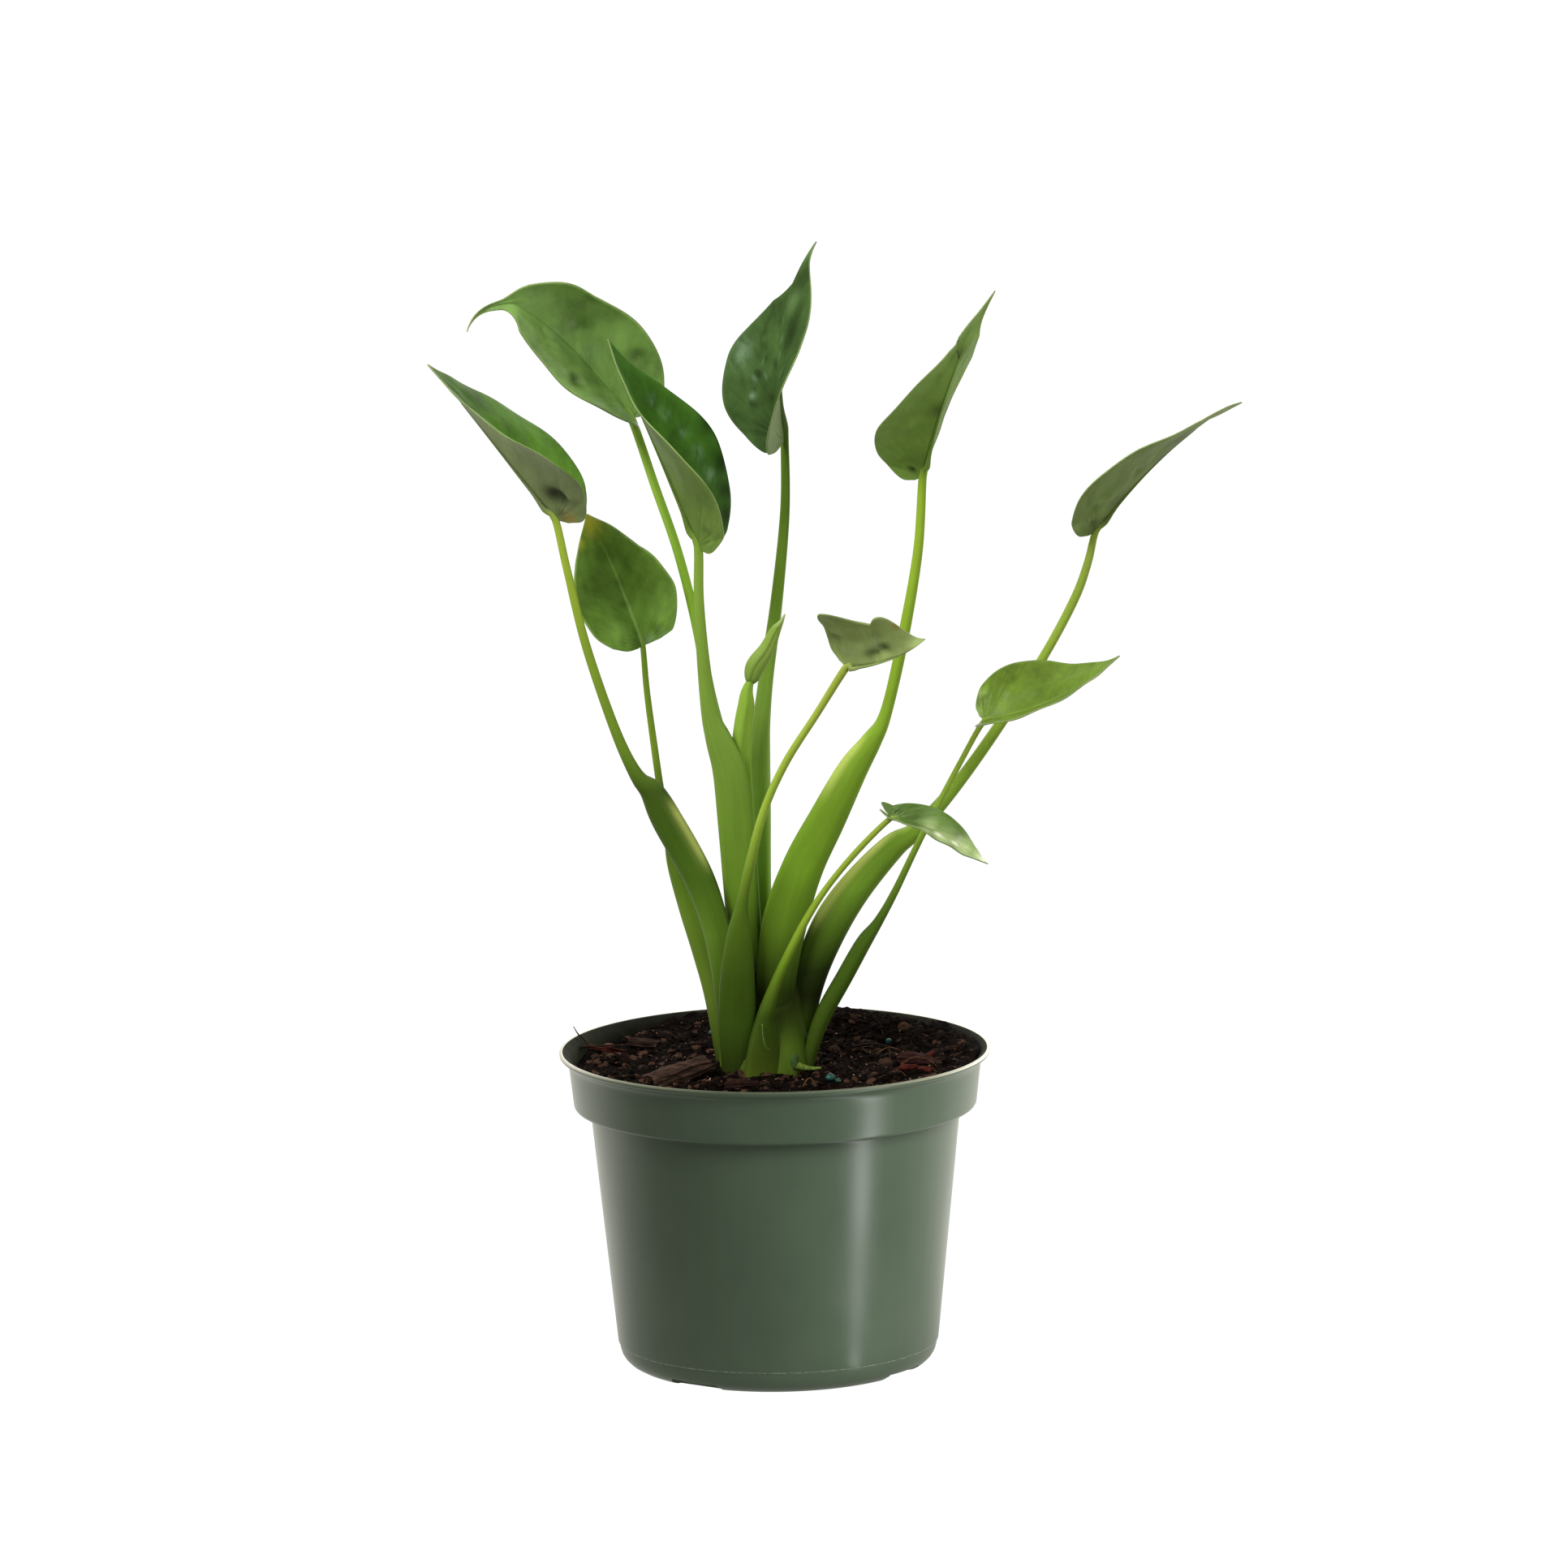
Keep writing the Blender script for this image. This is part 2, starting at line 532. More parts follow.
def makeMix():
    soil = soilMaterial("pottingMix", (5, 3, 2), (22, 15, 11), (46, 28, 20))
    flare = potProfile()
    rings, segments = mix["rings"], mix["segments"]

    def wallAt(height):                      # inner radius of the flared wall at a height
        top = [(z, r) for r, z in flare if pot["bandHeight"] + 2.5 < z and r < pot["lipRadius"] - 1.9][:8]
        return float(np.interp(height, [z for z, r in top], [r for z, r in top])) - 0.25
    points, faces = [(0.0, 0.0, mixSurface(0.0, 0.0))], []
    for i in range(1, rings + 1):
        for k in range(segments):
            angle = 2 * math.pi * k / segments
            rim = 77.0
            for step in range(3):            # settle on the radius where the level meets the wall
                rim = wallAt(mixSurface(rim * math.cos(angle), rim * math.sin(angle)))
            radius = rim * i / rings
            x, y = radius * math.cos(angle), radius * math.sin(angle)
            points.append((x, y, mixSurface(x, y)))
    skirt = [(pot["bandFoot"] - pot["wall"] - 0.6, pot["bandHeight"] + 2.9),
             (pot["bodyTop"] - pot["wall"] - 0.5, pot["bandHeight"] + 1.3),
             (pot["bodyTop"] - pot["wall"] - 0.5, pot["bandHeight"] - 1.0),
             (pot["stepRadius"] - pot["wall"] - 0.5, pot["stepHeight"] + 0.2),
             (pot["stepRadius"] - pot["wall"] - 2.8, 5.2), (pot["baseRadius"] - 1.8, 2.1)]
    for radius, height in skirt:
        for k in range(segments):
            angle = 2 * math.pi * k / segments
            points.append((radius * math.cos(angle), radius * math.sin(angle), height))
    points.append((0.0, 0.0, 2.1))
    last = rings + len(skirt)
    for k in range(segments):
        n = (k + 1) % segments
        faces.append((0, 1 + k, 1 + n))
        for i in range(last - 1):
            low, high = 1 + i * segments, 1 + (i + 1) * segments
            faces.append((low + k, high + k, high + n, low + n))
        low = 1 + (last - 1) * segments
        faces.append((low + n, low + k, len(points) - 1))
    obj = meshObject("mix_bed", points, faces, [soil])
    place(obj, "potting_mix", "potting_mix")
    bed = 1 + rings * segments               # the top alone carries what is strewn on it
    return points[:bed], [face for face in faces if max(face) < bed]


def crumbTree(name, material, level):
    tree = newTree(name, {"Density": 1000.0, "Smallest": 0.001, "Largest": 0.003, "Flatness": 0.7,
                          "Rough": 0.0006, "Grain": 500.0, "Sink": 0.0, "Seed": 1})
    link = tree.links.new
    entry, leave = addNode(tree, "NodeGroupInput"), addNode(tree, "NodeGroupOutput")
    strew = addNode(tree, "GeometryNodeDistributePointsOnFaces")
    lump = addNode(tree, "GeometryNodeMeshIcoSphere", None, {"Radius": 0.5, "Subdivisions": level})
    turn = addNode(tree, "FunctionNodeRandomValue", {"data_type": "FLOAT_VECTOR"})
    turn.inputs["Min"].default_value = (-0.5, -0.5, 0.0)
    turn.inputs["Max"].default_value = (0.5, 0.5, 6.28)
    size = addNode(tree, "FunctionNodeRandomValue", {"data_type": "FLOAT"})
    stretch = addNode(tree, "FunctionNodeRandomValue", {"data_type": "FLOAT_VECTOR"})
    stretch.inputs["Min"].default_value = (0.7, 0.5, 0.4)
    stretch.inputs["Max"].default_value = (1.5, 1.0, 0.8)
    scaled = addNode(tree, "ShaderNodeVectorMath", {"operation": "SCALE"})
    flat = addNode(tree, "ShaderNodeCombineXYZ", None, {"X": 1.0, "Y": 1.0})
    flatten = addNode(tree, "ShaderNodeVectorMath", {"operation": "MULTIPLY"})
    put = addNode(tree, "GeometryNodeInstanceOnPoints")
    tint = addNode(tree, "FunctionNodeRandomValue", {"data_type": "FLOAT"})
    tint.inputs["Min"].default_value = 0.0
    tint.inputs["Max"].default_value = 1.0
    keep = addNode(tree, "GeometryNodeStoreNamedAttribute", {"data_type": "FLOAT", "domain": "INSTANCE"},
                   {"Name": "tint"})
    real = addNode(tree, "GeometryNodeRealizeInstances")
    spot = addNode(tree, "GeometryNodeInputPosition")
    rough = addNode(tree, "ShaderNodeTexNoise", None, {"Detail": 2.0})
    centre = addNode(tree, "ShaderNodeVectorMath", {"operation": "SUBTRACT"})
    centre.inputs[1].default_value = (0.5, 0.5, 0.5)
    push = addNode(tree, "ShaderNodeVectorMath", {"operation": "SCALE"})
    sink = addNode(tree, "ShaderNodeCombineXYZ")
    lower = addNode(tree, "ShaderNodeVectorMath", {"operation": "ADD"})
    move = addNode(tree, "GeometryNodeSetPosition")
    shade = addNode(tree, "GeometryNodeSetShadeSmooth", None, {"Shade Smooth": False})
    paint = addNode(tree, "GeometryNodeSetMaterial", None, {"Material": material})
    link(entry.outputs["Geometry"], strew.inputs["Mesh"])
    link(entry.outputs["Density"], strew.inputs["Density"])
    for user in (strew, turn, size, stretch, tint):
        link(entry.outputs["Seed"], user.inputs["Seed"])
    link(entry.outputs["Smallest"], size.inputs["Min"])
    link(entry.outputs["Largest"], size.inputs["Max"])
    link(stretch.outputs["Value"], flatten.inputs[0])
    link(entry.outputs["Flatness"], flat.inputs["Z"])
    link(flat.outputs[0], flatten.inputs[1])
    link(flatten.outputs[0], scaled.inputs[0])
    link(size.outputs["Value"], scaled.inputs["Scale"])
    link(strew.outputs["Points"], put.inputs["Points"])
    link(lump.outputs["Mesh"], put.inputs["Instance"])
    link(turn.outputs["Value"], put.inputs["Rotation"])
    link(scaled.outputs[0], put.inputs["Scale"])
    link(put.outputs[0], keep.inputs["Geometry"])
    link(tint.outputs["Value"], keep.inputs["Value"])
    link(keep.outputs[0], real.inputs["Geometry"])
    link(entry.outputs["Grain"], rough.inputs["Scale"])
    link(spot.outputs[0], rough.inputs["Vector"])
    link(rough.outputs["Color"], centre.inputs[0])
    link(centre.outputs[0], push.inputs[0])
    link(entry.outputs["Rough"], push.inputs["Scale"])
    link(entry.outputs["Sink"], sink.inputs["Z"])
    link(push.outputs[0], lower.inputs[0])
    link(sink.outputs[0], lower.inputs[1])
    link(real.outputs[0], move.inputs["Geometry"])
    link(lower.outputs[0], move.inputs["Offset"])
    link(move.outputs[0], shade.inputs["Geometry"])
    link(shade.outputs[0], paint.inputs["Geometry"])
    link(paint.outputs[0], leave.inputs[0])
    return tree


crumbs = {                                   # what is strewn on the mix, with points for each square metre
    "mix_chunks": dict(level=3, values={"Density": 17000.0, "Smallest": 2.4 * mm, "Largest": 7.5 * mm, "Flatness": 0.75,
                                        "Rough": 3.6 * mm, "Grain": 340.0, "Sink": -0.9 * mm, "Seed": 5}, reach=70.5),
    "mix_crumbs": dict(level=2, values={"Density": 110000.0, "Smallest": 1.2 * mm, "Largest": 3.8 * mm, "Flatness": 0.85,
                                        "Rough": 2.4 * mm, "Grain": 560.0, "Sink": 0.0, "Seed": 3}, reach=74.6),
    "mix_dust": dict(level=1, values={"Density": 240000.0, "Smallest": 0.4 * mm, "Largest": 1.4 * mm, "Flatness": 0.8,
                                      "Rough": 0.6 * mm, "Grain": 900.0, "Sink": 0.2 * mm, "Seed": 8}, reach=76.5),
}


def strewMix(bedPoints, bedFaces):
    crumb = soilMaterial("mixCrumbs", (7, 5, 3), (29, 20, 16), (80, 57, 46), "tint")
    for name, kind in crumbs.items():
        within = [face for face in bedFaces if max(math.hypot(*bedPoints[i][:2]) for i in face) < kind["reach"]]
        obj = meshObject(name, bedPoints, within, [], smooth=False)
        runTree(obj, crumbTree(name + "Tree", crumb, kind["level"]), kind["values"])
        place(obj, "potting_mix")
        print(name, len(obj.data.polygons), "faces")


bedPoints, bedFaces = makeMix()
strewMix(bedPoints, bedFaces)
print("mix filled")


def plainMaterial(name, colour, second, roughness, specular):
    material, tree, shader = newMaterial(name, roughness=roughness, specular=specular)
    cloud = noiseNode(tree, coordinate(tree), 700.0, 4.0, 0.6)
    tree.links.new(rampNode(tree, cloud, [(0.35, linear(colour)), (0.65, linear(second))]), shader.inputs["Base Color"])
    bumpNode(tree, shader, cloud, 0.0001, 0.5)
    return material


def strandTree(name, material):              # curled fibres that lie about
    tree = newTree(name, {"Density": 1000.0, "Thickness": 0.0001, "Shortest": 0.5, "Longest": 1.5, "Seed": 1})
    link = tree.links.new
    entry, leave = addNode(tree, "NodeGroupInput"), addNode(tree, "NodeGroupOutput")
    strew = addNode(tree, "GeometryNodeDistributePointsOnFaces")
    line = addNode(tree, "GeometryNodeCurveQuadraticBezier", None, {"Resolution": 7})
    line.inputs["Start"].default_value = (-0.003, 0.0, 0.0)
    line.inputs["Middle"].default_value = (0.0, 0.0028, 0.0014)
    line.inputs["End"].default_value = (0.003, -0.0004, 0.0006)
    ring = addNode(tree, "GeometryNodeCurvePrimitiveCircle", {"mode": "RADIUS"}, {"Resolution": 5})
    tube = addNode(tree, "GeometryNodeCurveToMesh", None, {"Fill Caps": True})
    turn = addNode(tree, "FunctionNodeRandomValue", {"data_type": "FLOAT_VECTOR"})
    turn.inputs["Min"].default_value = (-0.5, -0.5, 0.0)
    turn.inputs["Max"].default_value = (0.5, 0.5, 6.28)
    size = addNode(tree, "FunctionNodeRandomValue", {"data_type": "FLOAT"})
    put = addNode(tree, "GeometryNodeInstanceOnPoints")
    real = addNode(tree, "GeometryNodeRealizeInstances")
    paint = addNode(tree, "GeometryNodeSetMaterial", None, {"Material": material})
    link(entry.outputs["Geometry"], strew.inputs["Mesh"])
    link(entry.outputs["Density"], strew.inputs["Density"])
    link(entry.outputs["Thickness"], ring.inputs["Radius"])
    for user in (strew, turn, size):
        link(entry.outputs["Seed"], user.inputs["Seed"])
    link(entry.outputs["Shortest"], size.inputs["Min"])
    link(entry.outputs["Longest"], size.inputs["Max"])
    link(line.outputs["Curve"], tube.inputs["Curve"])
    link(ring.outputs["Curve"], tube.inputs["Profile Curve"])
    link(strew.outputs["Points"], put.inputs["Points"])
    link(tube.outputs["Mesh"], put.inputs["Instance"])
    link(turn.outputs["Value"], put.inputs["Rotation"])
    link(size.outputs["Value"], put.inputs["Scale"])
    link(put.outputs[0], real.inputs["Geometry"])
    link(real.outputs[0], paint.inputs["Geometry"])
    link(paint.outputs[0], leave.inputs[0])
    return tree


def lumpMesh(name, lumps, material, slotName="potting_mix"):         # middle, half sizes, turn about the vertical
    points, faces = [], []
    for number, (middle, half, turn) in enumerate(lumps):
        bm = bmesh.new()
        bmesh.ops.create_icosphere(bm, subdivisions=3, radius=1.0)
        base = len(points)
        way = Matrix.Rotation(math.radians(turn), 3, "Z")
        for vert in bm.verts:
            rough = 1 + 0.3 * noise.noise(vert.co * 1.4 + Vector((number * 3.7, 1.0, 0.0)))
            spot = way @ Vector((vert.co.x * half[0], vert.co.y * half[1], vert.co.z * half[2])) * rough
            points.append(tuple(spot + Vector(middle)))
        faces += [tuple(base + vert.index for vert in face.verts) for face in bm.faces]
        bm.free()
    obj = meshObject(name, points, faces, [material])
    place(obj, slotName)


def strandMesh(name, strands, material, slotName="potting_mix"):     # each strand: thickness at its foot and the places it runs through
    points, faces = [], []
    around, count = 8, 24
    for thick, spots in strands:
        line = smoothPath(np.array(spots, float), np.linspace(0, 1, count + 1))
        base = len(points)
        for i, spot in enumerate(line):
            ahead = line[min(i + 1, count)] - line[max(i - 1, 0)]
            over = unit(np.cross(ahead, (0.2, 0.3, 1.0)))
            up = unit(np.cross(over, ahead))
            radius = thick * (1 - 0.75 * i / count) / 2
            for k in range(around):
                angle = 2 * math.pi * k / around
                points.append(tuple(spot + radius * (math.cos(angle) * over + math.sin(angle) * up)))
        for i in range(count):
            for k in range(around):
                n = (k + 1) % around
                a = base + i * around
                faces.append((a + k, a + n, a + around + n, a + around + k))
        faces.append(tuple(base + k for k in reversed(range(around))))
        faces.append(tuple(base + count * around + k for k in range(around)))
    obj = meshObject(name, points, faces, [material])
    place(obj, slotName)


def litterMix():
    within = [face for face in bedFaces if max(math.hypot(*bedPoints[i][:2]) for i in face) < 71.0]
    obj = meshObject("mix_fibres", bedPoints, within, [], smooth=False)
    fibre = plainMaterial("mixFibre", (58, 38, 28), (112, 82, 60), 0.7, 0.1)
    runTree(obj, strandTree("fibreTree", fibre),
            {"Density": 5200.0, "Thickness": 0.09 * mm, "Shortest": 0.35, "Longest": 1.3, "Seed": 4})
    place(obj, "potting_mix")
    obj = meshObject("mix_grit", bedPoints, within, [], smooth=False)
    grit = plainMaterial("mixGrit", (92, 64, 52), (160, 126, 108), 0.6, 0.2)
    runTree(obj, crumbTree("gritTree", grit, 1),
            {"Density": 9500.0, "Smallest": 0.3 * mm, "Largest": 0.9 * mm, "Flatness": 0.7, "Rough": 0.3 * mm,
             "Grain": 900.0, "Sink": 1.1 * mm, "Seed": 12})
    place(obj, "potting_mix")
    lumpMesh("feed_prills", [((-24.1, 49.5, 118.4), (1.5, 1.5, 1.4), 0), ((21.0, -31.0, 117.2), (1.9, 1.6, 1.5), 30),
                             ((24.0, -33.5, 116.6), (1.1, 1.0, 0.9), 70), ((44.0, 30.0, 118.6), (1.2, 1.1, 1.1), 10)],
             plainMaterial("feedPrill", (6, 50, 42), (16, 80, 66), 0.4, 0.3))
    lumpMesh("red_bits", [((57.3, -17.6, 117.0), (3.2, 1.6, 1.3), -25), ((51.0, -14.0, 117.2), (4.2, 1.5, 1.2), 18),
                          ((60.0, 4.0, 118.6), (3.0, 1.3, 1.0), 60)],
             plainMaterial("redBit", (38, 13, 9), (78, 30, 22), 0.8, 0.05))
    lumpMesh("pink_bits", [((71.0, 16.0, 118.8), (2.2, 1.6, 1.0), 40), ((-64.0, 30.0, 118.2), (2.0, 1.2, 0.9), 0)],
             plainMaterial("pinkBit", (66, 38, 34), (104, 68, 60), 0.8, 0.05))
    pale = plainMaterial("paleStrand", (62, 40, 26), (104, 74, 48), 0.7, 0.05)
    strandMesh("pale_strands", [
        (0.7, ((10.6, -43.5, 116.4), (12.0, -41.6, 118.6), (13.6, -40.4, 119.0), (14.6, -41.8, 117.6))),
        (0.5, ((48.0, -12.5, 118.0), (53.0, -9.5, 120.2), (58.5, -10.5, 119.6), (62.0, -15.0, 117.6))),
        (0.6, ((39.0, 8.0, 118.2), (44.0, 11.0, 120.0), (50.0, 9.0, 118.4)))], pale)
    dark = plainMaterial("darkStrand", (16, 9, 6), (44, 26, 16), 0.7, 0.1)
    strandMesh("dark_strands", [
        (1.1, ((-70.0, 24.0, 118.0), (-73.5, 26.0, 121.6), (-75.6, 27.0, 123.4), (-77.5, 28.0, 126.4))),
        (1.3, ((-74.5, 20.0, 119.8), (-67.0, 24.0, 119.4), (-57.0, 28.5, 118.6))),
        (1.2, ((30.0, 24.0, 117.8), (38.0, 18.0, 120.0), (46.0, 17.0, 118.6)))], dark)


litterMix()
lumpMesh("crown_bud", [((7.4, -11.4, 119.6), (1.7, 1.5, 3.4), 0)],
         plainMaterial("crownBud", (46, 66, 28), (64, 88, 44), 0.5, 0.05), "stalk_green")
strandMesh("crown_scale", [(3.2, ((8.6, -11.0, 117.8), (11.0, -13.4, 117.6), (14.2, -15.0, 117.5), (17.6, -16.0, 117.9)))],
           plainMaterial("crownScale", (68, 86, 27), (108, 124, 54), 0.5, 0.05), "stalk_green")
strandMesh("crown_membrane", [(0.45, ((-4.6, -20.0, 136.0), (-4.4, -20.7, 131.5), (-3.4, -21.0, 127.6), (-1.2, -20.5, 125.8)))],
           plainMaterial("crownMembrane", (74, 92, 38), (112, 128, 70), 0.5, 0.05), "stalk_green")
print("mix littered")


# ---- bark

barkChips = {                                # centre, length, breadth, thickness, turn and tilt
    "bark_chip_1": dict(at=(-36.5, -17.5, 117.0), size=(27.0, 12.0, 6.5), turn=30, tilt=-10, seed=3,
                        face=(60, 42, 34), edge=(86, 66, 55)),
    "bark_chip_2": dict(at=(-64.6, 24.6, 117.6), size=(15.5, 4.6, 3.4), turn=21, tilt=13, seed=7,
                        face=(57, 25, 19), edge=(74, 37, 27)),
    "bark_chip_3": dict(at=(-12.6, -34.5, 115.6), size=(12.0, 9.0, 4.0), turn=-12, tilt=0, seed=11,
                        face=(44, 24, 20), edge=(62, 37, 30)),
    "bark_chip_4": dict(at=(56.0, 1.0, 117.0), size=(17.0, 11.0, 4.5), turn=-14, tilt=4, seed=19,
                        face=(42, 21, 18), edge=(64, 35, 29)),
    "bark_chip_5": dict(at=(-50.5, 34.0, 118.0), size=(12.0, 7.5, 4.0), turn=-12, tilt=3, seed=23,
                        face=(46, 31, 25), edge=(62, 45, 36)),
}


def barkMaterial(name, face, edge):
    material, tree, shader = newMaterial(name, roughness=0.8, specular=0.04)
    where = coordinate(tree)
    layers = noiseNode(tree, stretched(tree, where, (0.5, 1.0, 3.2)), 420.0, 5.0, 0.65)
    blotch = noiseNode(tree, where, 170.0, 4.0)
    dark = tuple(c * 0.42 for c in face)
    base = rampNode(tree, layers, [(0.3, linear(dark)), (0.52, linear(face)), (0.74, linear(edge))])
    base = mixNode(tree, rampNode(tree, blotch, [(0.45, 0.0), (0.65, 0.7)]), base, linear(dark))
    tree.links.new(base, shader.inputs["Base Color"])
    bumpNode(tree, shader, layers, 0.0005, 0.9)
    return material


def makeBark(name, chip):
    length, breadth, thick = chip["size"]
    bm = bmesh.new()
    bmesh.ops.create_cube(bm, size=1.0)
    bmesh.ops.subdivide_edges(bm, edges=bm.edges, cuts=17, use_grid_fill=True)
    shift = Vector((chip["seed"], 0, 0))
    for vertex in bm.verts:
        flat = vertex.co.copy()
        rough = noise.noise_vector(flat * 2.3 + shift)
        narrow = 1 - 0.35 * abs(flat.x) - 0.15 * flat.x
        vertex.co.y *= narrow
        vertex.co.z *= narrow * (1 - 0.5 * abs(flat.y))
        vertex.co += Vector((rough.x * 0.05, rough.y * 0.22, rough.z * 0.16))
        spot = Vector((vertex.co.x * length, vertex.co.y * breadth, vertex.co.z * thick))
        layer = noise.noise(Vector((spot.x * 0.12, spot.y * 0.35, spot.z * 1.6)) + shift)
        chipped = noise.noise(spot * 0.9 + shift * 2)
        rounded = flat.normalized() if flat.length else flat
        vertex.co = spot + rounded * (0.55 * layer + 0.35 * chipped) - rounded * 0.35
    bmesh.ops.scale(bm, verts=bm.verts, vec=Vector((1, 1, 1)) * mm)
    spin = Matrix.Rotation(math.radians(chip["turn"]), 4, "Z") @ Matrix.Rotation(math.radians(chip["tilt"]), 4, "Y")
    bmesh.ops.transform(bm, matrix=Matrix.Translation(Vector(chip["at"]) * mm) @ spin, verts=bm.verts)
    bmesh.ops.recalc_face_normals(bm, faces=bm.faces)
    mesh = bpy.data.meshes.new(name)
    bm.to_mesh(mesh)
    bm.free()
    mesh.materials.append(barkMaterial(name + "_finish", chip["face"], chip["edge"]))
    mesh.shade_smooth()
    mesh.set_sharp_from_angle(angle=math.radians(40))
    obj = bpy.data.objects.new(name.replace("bark_chip", "bark_slab"), mesh)
    scene.collection.objects.link(obj)
    place(obj, "bark", name)


for name, chip in barkChips.items():
    makeBark(name, chip)

cork, corkTree, corkShader = newMaterial("cormSkin", roughness=0.8, specular=0.3)
corkRings = noiseNode(corkTree, stretched(corkTree, coordinate(corkTree), (1.0, 1.0, 5.0)), 130.0, 5.0)
corkTree.links.new(rampNode(corkTree, corkRings, [(0.3, linear((62, 44, 30))), (0.7, linear((128, 98, 66)))]),
                   corkShader.inputs["Base Color"])
bumpNode(corkTree, corkShader, corkRings, 0.0006, 0.8)
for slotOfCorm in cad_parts["corm"].material_slots:
    slotOfCorm.material = cork
print("bark laid")


# ---- leaf blades

bladeShape = dict(rows=110, columns=22, slant=0.35, thickness=0.55, veins=13.0, swell=1.7)

bladeOutline = ((0.12, -0.04), (0.34, -0.06), (0.64, 0.01), (0.88, 0.14), (1.0, 0.32),
                (0.93, 0.50), (0.70, 0.67), (0.38, 0.82), (0.13, 0.93), (0.0, 1.0))

